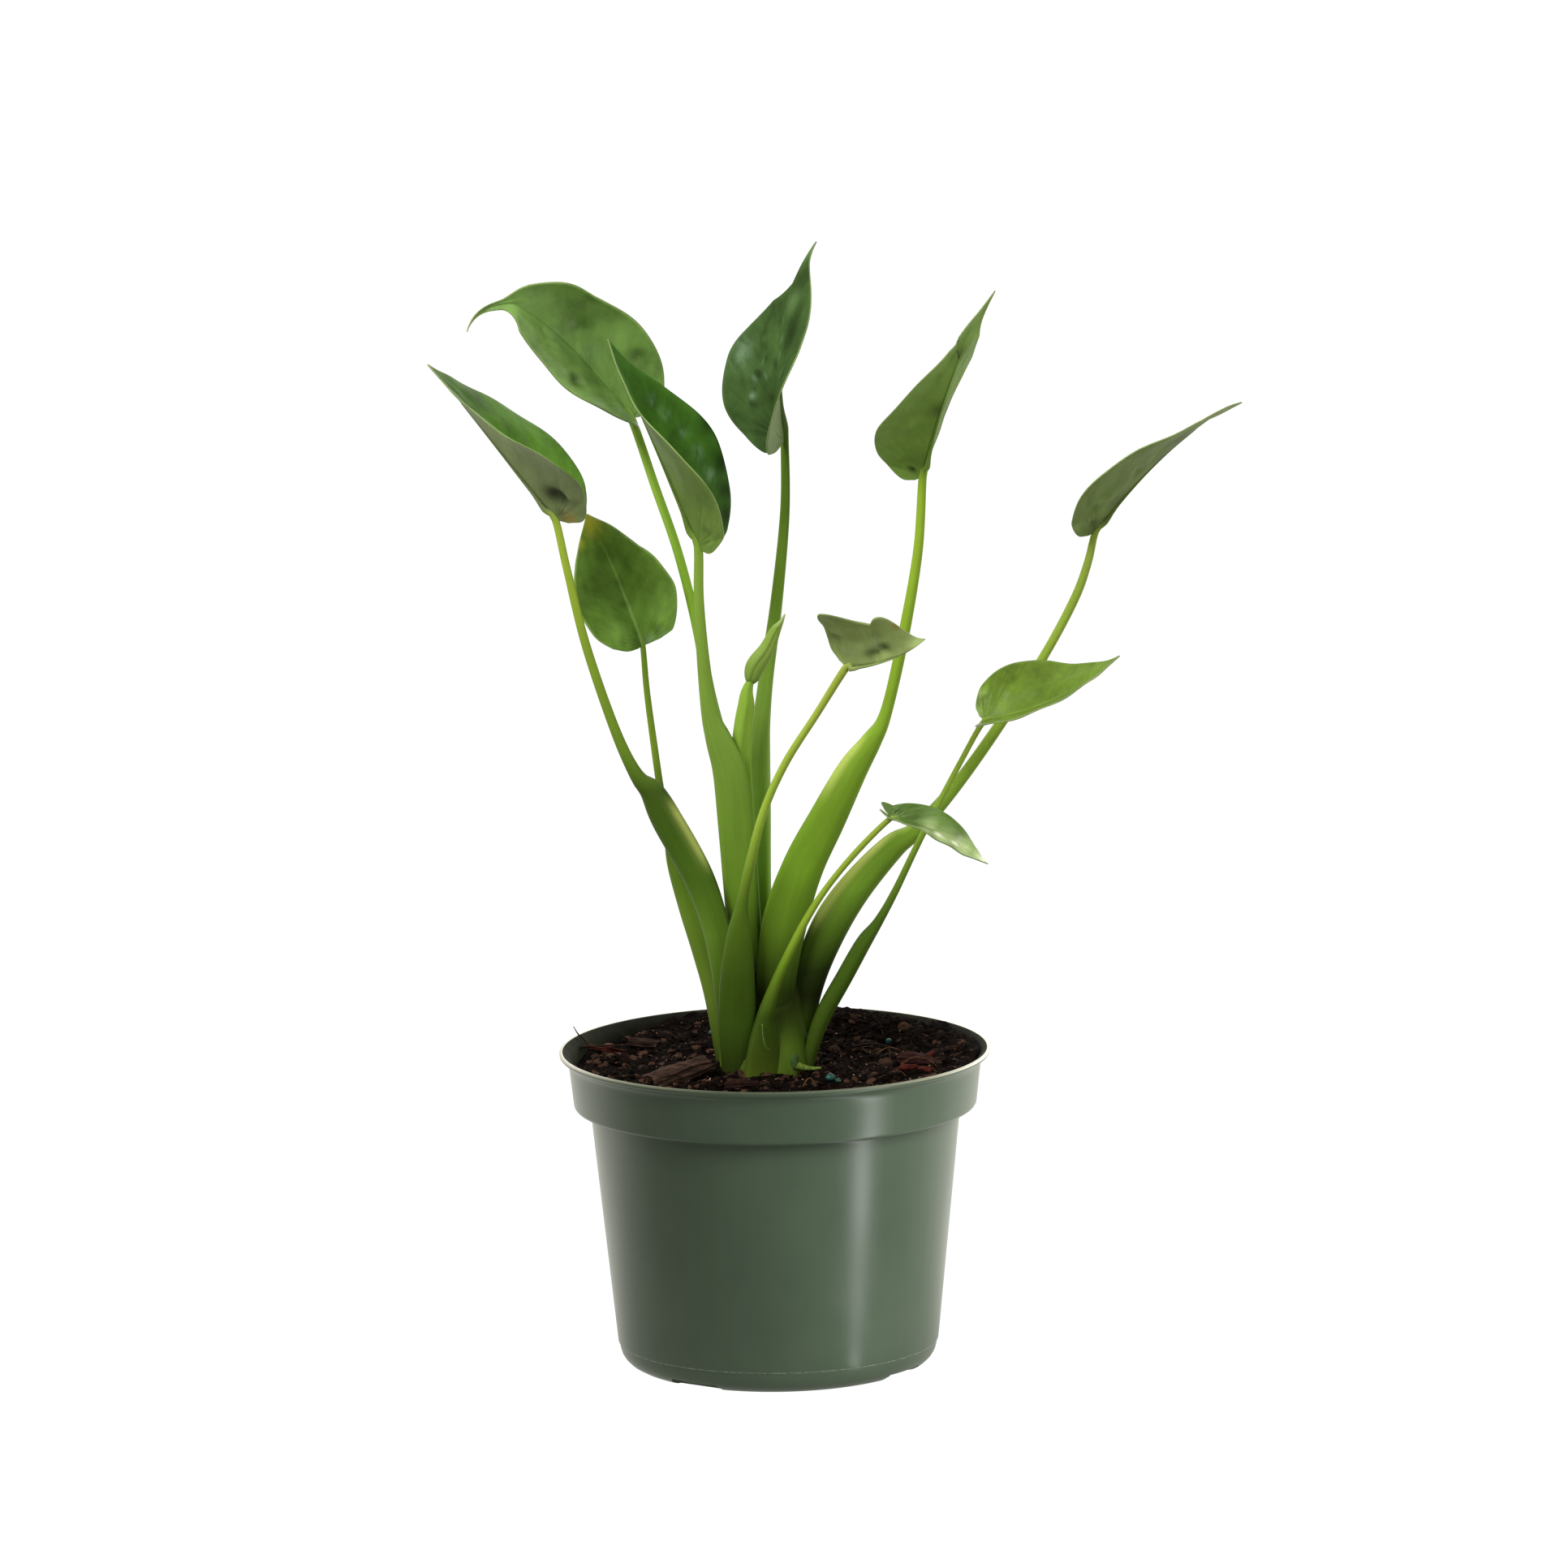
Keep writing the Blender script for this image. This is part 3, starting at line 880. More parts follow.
leaves = {                                   # pairs are left and right of the midrib
    "leaf_1": dict(joint=(-80.4, -8.0, 329.5), tip=(-126.8, -13.0, 390.6), width=32.5, ratio=1.04,
                   roll=91, fold=(55, 50), foldTip=(1, 6), cup=(-23, -20), arch=0.0, sway=0.02,
                   hook=-0.01, hookSide=-0.01, hookFrom=0.71, taper=-0.04, lobe=0.35, lobeBend=6,
                   top=(84, 124, 42), under=(118, 133, 84), gloss=0.03,
                   bumps=((0.47, -0.28, 1.2, 3.0), (0.36, -0.35, 1.0, 2.6), (0.3, -0.6, -0.6, 3.0), (0.55, 0.6, -0.4, 3.0)),
                   marks=(("dark", 0.48, -0.24, 1.0, 4.4), ("dark", 0.38, -0.33, 0.95, 4.0), ("dark", 0.25, -0.2, 0.6, 3.0), ("dark", 0.72, 0.78, 0.6, 8.0), ("dark", 0.86, 0.5, 0.3, 9.0),
                          ("warm", 0.12, -0.5, 0.6, 3.0), ("pale", 0.66, -0.5, 0.2, 8.0), ("pale", 0.45, 0.6, 0.15, 9.0),
                          ("warm", 1.0, 0.0, 0.4, 3.0))),
    "leaf_2": dict(joint=(-51.8, 45.0, 360.2), tip=(-103.5, -3.0, 416.2), width=25.8, ratio=1.01,
                   roll=39, fold=(57, 16), foldTip=(13, 26), cup=(-18, 60), arch=-0.05, sway=0.09,
                   hook=-0.21, hookSide=-0.17, hookFrom=0.8, taper=0.05, lobe=-0.3, lobeBend=-20,
                   top=(120, 156, 76), under=(132, 148, 100), gloss=0.4, rib=0.15,
                   tail=(0.79, 0.88, 0.32), curl=(0.9, 0.17, -0.03), edges=((0.55, 0.9, 0.14, 1), (-0.1, 0.5, 0.06, 1)),
                   bumps=((0.55, -0.72, -0.9, 3.0), (0.43, 0.62, -0.9, 3.0), (0.65, 0.35, -0.8, 3.0), (0.48, -0.35, 0.7, 4.0),
                          (0.72, -0.3, -0.6, 3.0), (0.6, 0.7, 0.6, 5.0)),
                   marks=(("dark", 0.55, -0.72, 0.5, 4.0), ("dark", 0.43, 0.62, 0.45, 4.0), ("dark", 0.65, 0.35, 0.35, 5.0),
                          ("dark", 0.56, -0.35, 0.4, 7.0), ("dark", 0.63, -0.45, 0.3, 6.0), ("sheen", 0.42, -0.92, 0.5, 2.6), ("sheen", 0.36, -0.67, 0.6, 2.6), ("sheen", 0.26, -0.5, 0.6, 2.6), ("pale", 0.48, 0.85, 0.3, 9.0), ("pale", 0.78, 0.1, 0.2, 9.0),
                          ("warm", 0.97, 0.0, 0.6, 7.0), ("sheen", 0.7, -0.1, 0.25, 6.0), ("sheen", 0.6, 0.2, 0.22, 6.0))),
    "leaf_3": dict(joint=(-26.5, -5.0, 318.4), tip=(-60.2, -7.4, 397.8), width=30.7, ratio=1.01,
                   roll=76, fold=(46, 17), foldTip=(-1, 24), cup=(13, 18), arch=0.0, sway=0.03,
                   hook=0.01, hookSide=0.0, hookFrom=0.7, taper=0.4, lobe=-0.2, lobeBend=-24,
                   top=(66, 108, 34), under=(98, 124, 50), gloss=0.1, margin=0.86,
                   bumps=((0.68, 0.63, -0.7, 2.4), (0.62, 0.55, 0.6, 2.2), (0.58, 0.72, -0.7, 2.4), (0.49, 0.68, -0.7, 2.6),
                          (0.3, -0.4, 0.5, 2.6)),
                   marks=(("sheen", 0.70, 0.62, 0.4, 2.4), ("sheen", 0.65, 0.66, 0.4, 2.4), ("sheen", 0.59, 0.7, 0.42, 2.2), ("sheen", 0.53, 0.68, 0.38, 2.4), ("sheen", 0.47, 0.68, 0.36, 2.4),
                          ("dark", 0.52, 1.0, 0.8, 5.0), ("dark", 0.42, 0.95, 0.95, 6.0), ("dark", 0.35, 0.95, 0.9, 5.5),
                          ("dark", 0.28, 0.9, 0.85, 6.0), ("dark", 0.47, 0.45, 0.6, 4.0))),
    "leaf_4": dict(joint=(6.9, 35.0, 352.8), tip=(16.9, 42.4, 427.9), width=35.6, ratio=1.04,
                   roll=-74, fold=(19, 36), foldTip=(-21, -22), cup=(26, -8), arch=0.09, sway=0.03,
                   hook=-0.07, hookSide=-0.09, hookFrom=0.69, taper=0.43, lobe=(0.34, -0.65), lobeBend=-5,
                   top=(66, 90, 47), under=(110, 130, 80), gloss=0.0,
                   edges=((-0.2, 0.35, -0.12, 1), (0.5, 0.9, 0.19, 1), (0.5, 0.9, 0.09, -1), (-0.2, 0.35, 0.06, -1)),
                   bumps=((0.61, -0.55, 1.0, 2.0), (0.57, -0.53, -0.9, 1.8), (0.54, -0.5, 1.0, 2.0), (0.50, -0.52, -0.9, 1.8),
                          (0.45, -0.50, 1.1, 2.2), (0.64, -0.3, 0.8, 2.0), (0.69, -0.25, -0.8, 2.0), (0.58, -0.2, 0.8, 2.0),
                          (0.52, -0.18, -0.8, 1.8), (0.72, -0.5, 0.6, 2.5)),
                   marks=(("sheen", 0.57, -0.48, 0.4, 1.5), ("sheen", 0.56, -0.32, 0.35, 1.5), ("sheen", 0.515, -0.52, 0.4, 1.6), ("sheen", 0.47, -0.5, 0.4, 1.6), ("sheen", 0.68, 0.1, 0.4, 1.6), ("sheen", 0.64, 0.15, 0.4, 1.6), ("sheen", 0.55, 0.56, 0.4, 2.0),
                          ("dark", 0.54, -0.45, 0.7, 1.6), ("dark", 0.49, -0.5, 0.7, 1.5), ("dark", 0.45, -0.48, 0.6, 1.6), ("dark", 0.62, -0.1, 0.5, 2.0), ("dark", 0.59, -0.4, 0.5, 1.4), ("dark", 0.52, -0.15, 0.45, 5.0),
                          ("dark", 0.35, -0.3, 0.35, 8.0), ("dark", 0.65, 0.62, 0.75, 8.0), ("dark", 0.77, 0.9, 0.4, 6.0), ("sheen", 0.52, -0.85, 0.3, 6.0), ("pale", 0.95, 0.0, 0.55, 6.0),
                          ("pale", 0.74, 0.4, 0.35, 4.5))),
    "leaf_5": dict(joint=(58.6, -30.0, 347.2), tip=(81.7, -64.3, 419.0), width=26.1, ratio=0.89,
                   roll=235, fold=(25, 77), foldTip=(-1, -21), cup=(21, -37), arch=0.0, sway=0.05,
                   hook=0.02, hookSide=-0.1, hookFrom=0.77, taper=0.2, lobe=-0.2, lobeBend=-5,
                   top=(120, 154, 66), under=(118, 150, 64), edges=((0.75, 0.81, -0.28, 1),),
                   bumps=((0.54, 0.48, -0.7, 2.4), (0.5, 0.6, -0.5, 2.0), (0.26, 0.27, 0.9, 1.6), (0.32, 0.4, 0.5, 2.0)),
                   marks=(("dark", 0.26, 0.27, 0.8, 1.8), ("dark", 0.5, 0.05, 0.35, 5.0), ("dark", 0.64, 0.05, 0.65, 3.6),
                          ("dark", 0.78, 0.0, 0.5, 3.5), ("pale", 0.54, 0.5, 0.16, 2.4), ("pale", 0.78, -0.8, 0.2, 5.0),
                          ("dark", 0.3, -0.5, 0.5, 6.0), ("dark", 0.43, -0.5, 0.5, 6.0), ("dark", 0.55, -0.5, 0.5, 6.0))),
    "leaf_6": dict(joint=(124.4, 0.0, 320.9), tip=(178.2, -3.5, 371.1), width=26.2, ratio=1.03,
                   roll=-95, fold=(26, 30), foldTip=(-7, -1), cup=(-7, 13), arch=0.05, sway=0.02,
                   hook=-0.03, hookSide=-0.09, hookFrom=0.81, taper=0.1, lobe=-0.2, lobeBend=-12,
                   top=(100, 128, 58), under=(106, 126, 64),
                   bumps=((0.4, 0.45, 0.6, 2.2), (0.5, 0.4, -0.6, 2.4), (0.6, 0.4, 0.5, 2.4), (0.35, 0.25, 0.6, 2.0)),
                   marks=(("dark", 0.4, 0.1, 0.5, 5.0), ("dark", 0.55, 0.1, 0.4, 5.0), ("dark", 0.7, 0.15, 0.35, 5.0),
                          ("pale", 0.47, 0.45, 0.25, 2.2), ("pale", 0.88, 0.9, 0.4, 3.0), ("dark", 0.72, 0.45, 0.6, 5.0), ("pale", 0.2, 0.8, 0.3, 2.5))),
    "leaf_7": dict(joint=(81.0, -25.0, 253.0), tip=(132.5, -29.3, 277.9), width=22.4, ratio=1.0,
                   roll=-71, fold=(39, 26), foldTip=(-4, 24), cup=(0, 0), arch=-0.06, sway=0.04,
                   hook=0.02, hookSide=0.03, hookFrom=0.7, taper=0.1, lobe=-0.2, lobeBend=-2,
                   top=(100, 126, 42), under=(126, 146, 80), gloss=0.1,
                   bumps=((0.48, -0.47, 0.4, 2.6), (0.3, -0.6, 0.5, 2.2), (0.6, -0.55, -0.4, 2.6)),
                   marks=(("pale", 0.23, -0.8, 0.3, 2.4), ("pale", 0.3, -0.3, 0.14, 4.0), ("pale", 0.5, -0.15, 0.14, 5.0),
                          ("pale", 0.05, -0.9, 0.6, 2.6), ("dark", 0.55, -0.8, 0.18, 6.0))),
    "leaf_8": dict(joint=(45.2, -38.0, 218.4), tip=(80.3, -48.5, 200.2), width=8.0, ratio=1.0,
                   roll=-44, fold=(24, 48), foldTip=(24, 14), cup=(1, 5), arch=0.04, sway=-0.09,
                   hook=0.03, hookSide=-0.05, hookFrom=0.68, taper=0.12, lobe=1.0, lobeBend=24,
                   top=(90, 120, 48), under=(130, 148, 96), paleColour=(184, 200, 142),
                   warmColour=(232, 240, 206),
                   marks=(("pale", 0.9, 0.0, 0.95, 5.0), ("pale", 0.99, 0.0, 0.95, 5.0), ("pale", 0.77, 0.4, 0.95, 4.5), ("pale", 0.64, 0.6, 0.95, 4.5), ("pale", 0.52, 0.7, 0.7, 3.0), ("pale", 0.62, -0.1, 0.6, 3.0),
                          ("warm", 0.62, 0.5, 0.85, 1.8), ("warm", 0.72, 0.4, 0.8, 1.8), ("warm", 0.93, 0.2, 0.8, 2.0),
                          ("dark", 0.68, -0.75, 0.5, 2.6), ("dark", 0.3, -0.5, 0.3, 4.0))),
    "leaf_9": dict(joint=(28.9, -52.0, 278.8), tip=(57.2, -64.8, 288.7), width=28.3, ratio=1.04,
                   roll=224.4, fold=(32, 37), foldTip=(56, 30), cup=(1.3, -48), arch=-0.065, sway=0.007,
                   hook=0.13, hookSide=-0.07, hookFrom=0.65, taper=0.16, lobe=0.38, lobeBend=-8,
                   top=(126, 153, 78), under=(148, 167, 98),
                   edges=((-0.2, 0.5, 0.24, 1), (0.3, 0.8, -0.2, 1), (0.6, 1.0, 0.6, 1)),
                   bumps=((0.64, 0.17, 1.0, 2.0), (0.73, 0.2, 1.0, 2.0), (0.5, 0.6, -0.6, 2.5), (0.35, 0.4, 0.6, 2.5)),
                   marks=(("dark", 0.59, 0.25, 0.75, 2.6), ("dark", 0.74, 0.28, 0.7, 2.6), ("dark", 0.7, 0.53, 0.35, 3.0), ("dark", 0.45, 0.9, 0.2, 5.0), ("dark", 0.62, -0.5, 0.4, 4.0), ("pale", 0.4, 0.5, 0.2, 4.0), ("sheen", 0.66, 0.4, 0.5, 2.2), ("sheen", 0.5, 0.25, 0.4, 2.0),
                          ("pale", 0.93, 0.3, 0.7, 4.0), ("pale", 0.94, -0.5, 0.6, 4.0), ("pale", 0.55, 0.35, 0.2, 3.0), ("warm", 0.8, 1.0, 0.7, 2.0),
                          ("dark", 0.24, 0.62, 0.3, 4.0), ("dark", 0.52, -0.2, 0.3, 3.5))),
    "leaf_10": dict(joint=(-48.6, 38.0, 273.2), tip=(-68.8, 38.5, 324.0), width=24.9, ratio=1.03,
                    roll=-2, fold=(47, 32), foldTip=(35, 43), cup=(11, 1), arch=-0.09, sway=0.01,
                    hook=-0.1, hookSide=-0.02, hookFrom=0.71, taper=-0.2, lobe=(-0.47, -0.77), lobeBend=-10,
                    top=(102, 136, 52), under=(120, 140, 78), warmColour=(186, 184, 60),
                    edges=((-0.2, 0.35, 0.05, -1),),
                    bumps=((0.33, 0.3, -0.8, 2.2), (0.37, 0.5, 0.7, 2.4), (0.3, -0.35, -0.7, 2.4)),
                    marks=(("dark", 0.66, -0.5, 0.4, 9.0), ("dark", 0.5, -0.4, 0.35, 8.0), ("dark", 0.3, -0.15, 0.6, 3.5), ("dark", 0.76, 0.06, 0.35, 2.6), ("dark", 0.69, -0.03, 0.45, 2.2), ("dark", 0.61, -0.07, 0.45, 2.0), ("dark", 0.5, -0.08, 0.5, 2.2), ("dark", 0.4, -0.1, 0.5, 2.2),
                           ("pale", 0.74, 0.12, 0.2, 4.0), ("pale", 0.58, 0.12, 0.2, 4.0), ("pale", 0.40, -0.45, 0.4, 5.0), ("sheen", 0.21, 0.28, 0.4, 2.4), ("sheen", 0.17, 0.85, 0.35, 2.4),
                           ("pale", 0.45, 0.6, 0.16, 7.0), ("warm", 0.95, 0.0, 0.85, 5.5), ("warm", 0.89, -0.5, 0.6, 4.0), ("warm", 0.9, 0.6, 0.5, 4.0),
                           ("warm", 0.8, -1.0, 0.6, 2.5))),
}


def pickSide(pair, side):
    if not isinstance(pair, tuple):
        return pair
    return pair[1] if side > 0 else pair[0]


def bladeAxes(leaf):                         # joint, length, and the ways along, up and over
    joint = np.array(leaf["joint"])
    run = np.array(leaf["tip"]) - joint
    length = np.linalg.norm(run)
    along = run / length
    front = np.array((0.0, -1.0, 0.0))
    face = unit(front - (front @ along) * along)
    turn = math.radians(leaf["roll"])
    up = face * math.cos(turn) + np.cross(along, face) * math.sin(turn)
    return joint, length, along, up, np.cross(along, up)


def outlineAt(leaf, share, side, across):    # place on the flat blade: millimetres across, share of the length
    outline = smoothPath(bladeOutline, share)
    out, reach = outline[..., 0], outline[..., 1]
    reach = np.where(reach < 0, reach * (1 + pickSide(leaf["lobe"], side)), reach)
    outer = np.clip((reach - 0.35) / 0.65, 0.0, 1.0)
    out = out * (1 - leaf["taper"] * outer * outer * (3 - 2 * outer))
    if "tail" in leaf:                       # the tip runs out into a thin tail
        begin, end, narrow = leaf["tail"]
        out = out * (1 - (1 - narrow) * smoothStep(begin, end, reach))
    for low, high, change, edge in leaf.get("edges", ()):      # one margin drawn in or let out
        if edge == side:
            middle, half = (low + high) / 2, (high - low) / 2
            bell = np.clip(1 - ((reach - middle) / half) ** 2, 0.0, 1.0) ** 2
            out = out * (1 + change * bell)
    width = leaf["width"] * (leaf["ratio"] if side > 0 else 1.0)
    start = np.where(reach > 0, np.maximum(reach - bladeShape["slant"] * out, 0.0), 0.0)
    return out * width * across, start * (1 - across) + reach * across


def foldedPlace(leaf, x, y, side):           # the same place once the blade is folded, cupped and bowed
    joint, length, along, up, over = bladeAxes(leaf)
    width = leaf["width"] * (leaf["ratio"] if side > 0 else 1.0)
    inside = np.clip(y, 0.0, 1.0)
    bow = 4 * inside * (1 - inside)
    bowSlope = 4 * (1 - 2 * inside)
    late = np.maximum(inside - leaf["hookFrom"], 0.0) / (1 - leaf["hookFrom"])
    lateSlope = 2 * late / (1 - leaf["hookFrom"])
    rise = leaf["arch"] * bow + leaf["hook"] * late ** 2
    swing = leaf["sway"] * bow + leaf["hookSide"] * late ** 2
    slopeUp = leaf["arch"] * bowSlope + leaf["hook"] * lateSlope
    slopeOver = leaf["sway"] * bowSlope + leaf["hookSide"] * lateSlope
    if "curl" in leaf:                       # the last stretch bends further: from, up, over
        begin, bendUp, bendOver = leaf["curl"]
        more = np.maximum(inside - begin, 0.0) / (1 - begin)
        rise, swing = rise + bendUp * more ** 2, swing + bendOver * more ** 2
        slopeUp, slopeOver = slopeUp + 2 * bendUp * more / (1 - begin), slopeOver + 2 * bendOver * more / (1 - begin)
    rib = joint + length * (y[..., None] * along + rise[..., None] * up + swing[..., None] * over)
    heading = along + slopeUp[..., None] * up + slopeOver[..., None] * over
    heading = heading / np.linalg.norm(heading, axis=-1, keepdims=True)
    localUp = up - (heading @ up)[..., None] * heading
    localUp = localUp / np.linalg.norm(localUp, axis=-1, keepdims=True)
    localOver = np.cross(heading, localUp)

    foldBase, foldTip = pickSide(leaf["fold"], side), pickSide(leaf["foldTip"], side)
    fold = np.radians(foldBase + (foldTip - foldBase) * inside)
    curl = math.radians(pickSide(leaf["cup"], side)) / width
    if abs(curl) < 1e-6:
        flat, lift = x * np.cos(fold), x * np.sin(fold)
    else:
        flat = (np.sin(fold + curl * x) - np.sin(fold)) / curl
        lift = (np.cos(fold) - np.cos(fold + curl * x)) / curl
    droop = np.maximum(-y, 0.0) * length * math.sin(math.radians(leaf["lobeBend"]))
    return rib + (side * flat)[..., None] * localOver + lift[..., None] * localUp + droop[..., None] * up, localUp


def bladePlace(leaf, share, side, across):   # share: lobe round the margin to the tip; across: midrib to margin
    x, y = outlineAt(leaf, share, side, across)
    return foldedPlace(leaf, x, y, side)[0]


def noiseField(values, seed):
    flat = [noise.noise(Vector((a, b, seed))) for a, b in zip(values[0].ravel(), values[1].ravel())]
    return np.array(flat).reshape(values[0].shape)


def bladeRelief(leaf, share, side, across, seed):   # veins lie low, the fields between them swell a little
    veins = bladeShape["veins"]
    swell = 0.5 - 0.5 * np.cos(2 * np.pi * share * veins)
    span = np.sin(np.pi * np.clip(across, 0, 1) ** 0.7) ** 1.2
    uneven = 0.6 + 1.3 * noiseField((share * 14, across * 2.6 + 5 * side), seed)
    fade = smoothStep(0.1, 0.25, share) * (1 - smoothStep(0.72, 0.92, share))
    pucker = leaf.get("pucker", 0.22) * swell * span * uneven * fade
    wave = leaf.get("wave", 0.3) * across ** 3 * np.sin(share * 31 + seed + side) * fade
    lumps = leaf.get("lumps", 0.6) * noiseField((share * 9, across * 3 + 9 * side), seed + 40) * np.sin(np.pi * across)
    rib = leaf.get("rib", -0.3) * np.exp(-((across - 0.02) / 0.03) ** 2) * (1 - smoothStep(0.7, 0.95, share))
    return (pucker + wave + lumps * fade + rib) * smoothStep(0.0, 0.04, across)


def spotCentre(leaf, share, across):
    return bladePlace(leaf, np.array(share), 1 if across > 0 else -1, np.array(abs(across)))


def bladeMesh(name, leaf, materials, seed):
    rows, columns = bladeShape["rows"], bladeShape["columns"]
    shares = np.linspace(0.0, 1.0, rows + 1)
    acrosses = np.linspace(0.0, 1.0, columns + 1) ** 0.9
    share, across = np.meshgrid(shares, acrosses, indexing="ij")
    points, maps, faces = [], [], []
    marks = {"pale": [], "dark": [], "warm": [], "sheen": []}
    for side in (-1, 1):
        spots = bladePlace(leaf, share, side, across)
        step = 1e-3
        ahead = bladePlace(leaf, np.clip(share + step, 0, 1), side, across)
        behind = bladePlace(leaf, np.clip(share - step, 0, 1), side, across)
        outward = bladePlace(leaf, share, side, np.minimum(across + step, 1.02))
        inward = bladePlace(leaf, share, side, np.maximum(across - step, 0.0))
        normal = side * np.cross(outward - inward, ahead - behind)
        size = np.linalg.norm(normal, axis=-1, keepdims=True)
        normal = np.where(size > 1e-12, normal / np.maximum(size, 1e-12), 0.0)
        relief = bladeRelief(leaf, share, side, across, seed)
        for bumpShare, bumpAcross, height, radius in leaf.get("bumps", ()):
            away = np.linalg.norm(spots - spotCentre(leaf, bumpShare, bumpAcross), axis=-1)
            relief = relief + bladeShape["swell"] * height * np.exp(-(away / radius) ** 2) * smoothStep(0.0, 0.04, across)
        for label, values in marks.items():
            value = np.zeros_like(share)
            for kind, markShare, markAcross, strength, radius in leaf.get("marks", ()):
                if kind == label:
                    away = np.linalg.norm(spots - spotCentre(leaf, markShare, markAcross), axis=-1)
                    value = np.maximum(value, strength * np.exp(-(away / radius) ** 2))
            values.extend(value.ravel())
        soften = smoothStep(0.0, 0.5, np.linalg.norm(spots - np.array(leaf["joint"]), axis=-1) / 8.0)
        spots = spots + (relief * soften)[..., None] * normal
        base = len(points)
        points.extend(spots.reshape(-1, 3))
        maps.extend(np.stack((0.5 + 0.5 * side * across, share, across), axis=-1).reshape(-1, 3))
        count = columns + 1
        for i in range(rows):
            for k in range(columns):
                a = base + i * count + k
                quad = (a, a + 1, a + count + 1, a + count)
                faces.append(quad if side > 0 else quad[::-1])
    obj = meshObject(name, points, faces, materials, attributes={"leafMap": maps, **marks}, merge=0.03)
    shell = obj.modifiers.new("thickness", "SOLIDIFY")
    shell.thickness = bladeShape["thickness"] * mm
    shell.offset = 0.0
    shell.use_even_offset = False
    shell.material_offset = 1
    shell.material_offset_rim = 2
    settle(obj)
    obj.data.shade_smooth()
    return obj


def lighter(colour, factor, add=0):
    return linear(tuple(min(max(c * factor + add, 0), 255) for c in colour))


def leafMaterial(name, leaf, under, seed):
    colour = leaf["under"] if under else leaf["top"]
    material, tree, shader = newMaterial(name, roughness=0.55 if under else 0.36,
                                         specular=0.1 if under else leaf.get("gloss", 0.22))
    parts = addNode(tree, "ShaderNodeSeparateXYZ")
    tree.links.new(attribute(tree, "leafMap").outputs["Vector"], parts.inputs[0])
    share, across = parts.outputs["Y"], parts.outputs["Z"]
    where = coordinate(tree)
    cloud = noiseNode(tree, where, 45.0 + seed, 5.0, 0.62)
    mottle = noiseNode(tree, where, 210.0 + seed, 4.0, 0.6)
    speck = noiseNode(tree, where, 1500.0, 3.0, 0.6)
    streak = noiseNode(tree, stretched(tree, attribute(tree, "leafMap").outputs["Vector"], (5.0, 42.0, 5.0)), 1.0, 3.0, 0.6)
    low, middle, high = (0.98, 1.04, 1.1) if under else (0.86, 1.07, 1.2)
    base = rampNode(tree, cloud, [(0.3, lighter(colour, low)), (0.5, lighter(colour, middle)), (0.7, lighter(colour, high, 2))])
    base = mixNode(tree, 0.35 if under else 0.7, base, rampNode(tree, streak, [(0.32, 0.78), (0.66, 1.0)]), "MULTIPLY")
    base = mixNode(tree, 0.3 if under else 0.5, base, rampNode(tree, mottle, [(0.35, 0.78), (0.68, 1.0)]), "MULTIPLY")
    phase = mathNode(tree, "FRACT", mathNode(tree, "MULTIPLY", share, bladeShape["veins"]))
    edge = mathNode(tree, "ABSOLUTE", mathNode(tree, "SUBTRACT", phase, 0.5))
    base = mixNode(tree, 0.4 if under else 0.7, base, rampNode(tree, edge, [(0.12, 1.0), (0.5, 0.84)]), "MULTIPLY")
    vein = mathNode(tree, "MULTIPLY", rampNode(tree, edge, [(0.40, 0.0), (0.5, 1.0)]),
                    rampNode(tree, mottle, [(0.4, 0.0), (0.62, 1.0)]))
    base = mixNode(tree, mathNode(tree, "MULTIPLY", vein, 0.18), base, lighter(colour, 1.2, 8))
    midrib = rampNode(tree, across, [(0.0, 1.0), (0.06, 0.0)])
    base = mixNode(tree, mathNode(tree, "MULTIPLY", midrib, 0.45), base, lighter(colour, 1.15, 14))
    margin = rampNode(tree, across, [(leaf.get("margin", 0.95), 0.0), (0.997, 1.0)])
    base = mixNode(tree, mathNode(tree, "MULTIPLY", margin, 0.35), base, lighter(colour, 1.15, 16))
    base = mixNode(tree, attribute(tree, "dark").outputs["Fac"], base, lighter(colour, 0.4))
    sheen = mathNode(tree, "MULTIPLY", attribute(tree, "sheen").outputs["Fac"], rampNode(tree, streak, [(0.38, 0.1), (0.6, 1.0)]))
    base = mixNode(tree, sheen, base, linear((150, 178, 150)))
    base = mixNode(tree, attribute(tree, "pale").outputs["Fac"], base,
                   linear(leaf["paleColour"]) if "paleColour" in leaf else lighter(colour, 1.25, 34))
    base = mixNode(tree, attribute(tree, "warm").outputs["Fac"], base, linear(leaf.get("warmColour", (150, 120, 48))))
    base = mixNode(tree, 0.04, base, rampNode(tree, speck, [(0.35, 0.5), (0.65, 1.0)]), "MULTIPLY")
    tree.links.new(base, shader.inputs["Base Color"])
    bumpNode(tree, shader, mottle, 0.0004, 0.3)
    return material


def marginMaterial():
    material, tree, shader = newMaterial("leafMargin", roughness=0.45, specular=0.4)
    tint = noiseNode(tree, coordinate(tree), 90.0, 3.0)
    tree.links.new(rampNode(tree, tint, [(0.35, linear((112, 134, 72))), (0.7, linear((142, 160, 94)))]),
                   shader.inputs["Base Color"])
    return material


leafRim = marginMaterial()
for seed, (name, leaf) in enumerate(leaves.items()):
    finishes = [leafMaterial(name + "_top", leaf, False, seed),
                leafMaterial(name + "_under", leaf, True, seed + 20), leafRim]
    blade = bladeMesh(name.replace("leaf", "blade"), leaf, finishes, seed * 1.7)
    place(blade, "leaf_green", name + "_blade")
print("ten blades made")


# ---- stalks

stalkShape = dict(core=5.6, stop=0.8, step=2.4, around=28, foot=103.5)

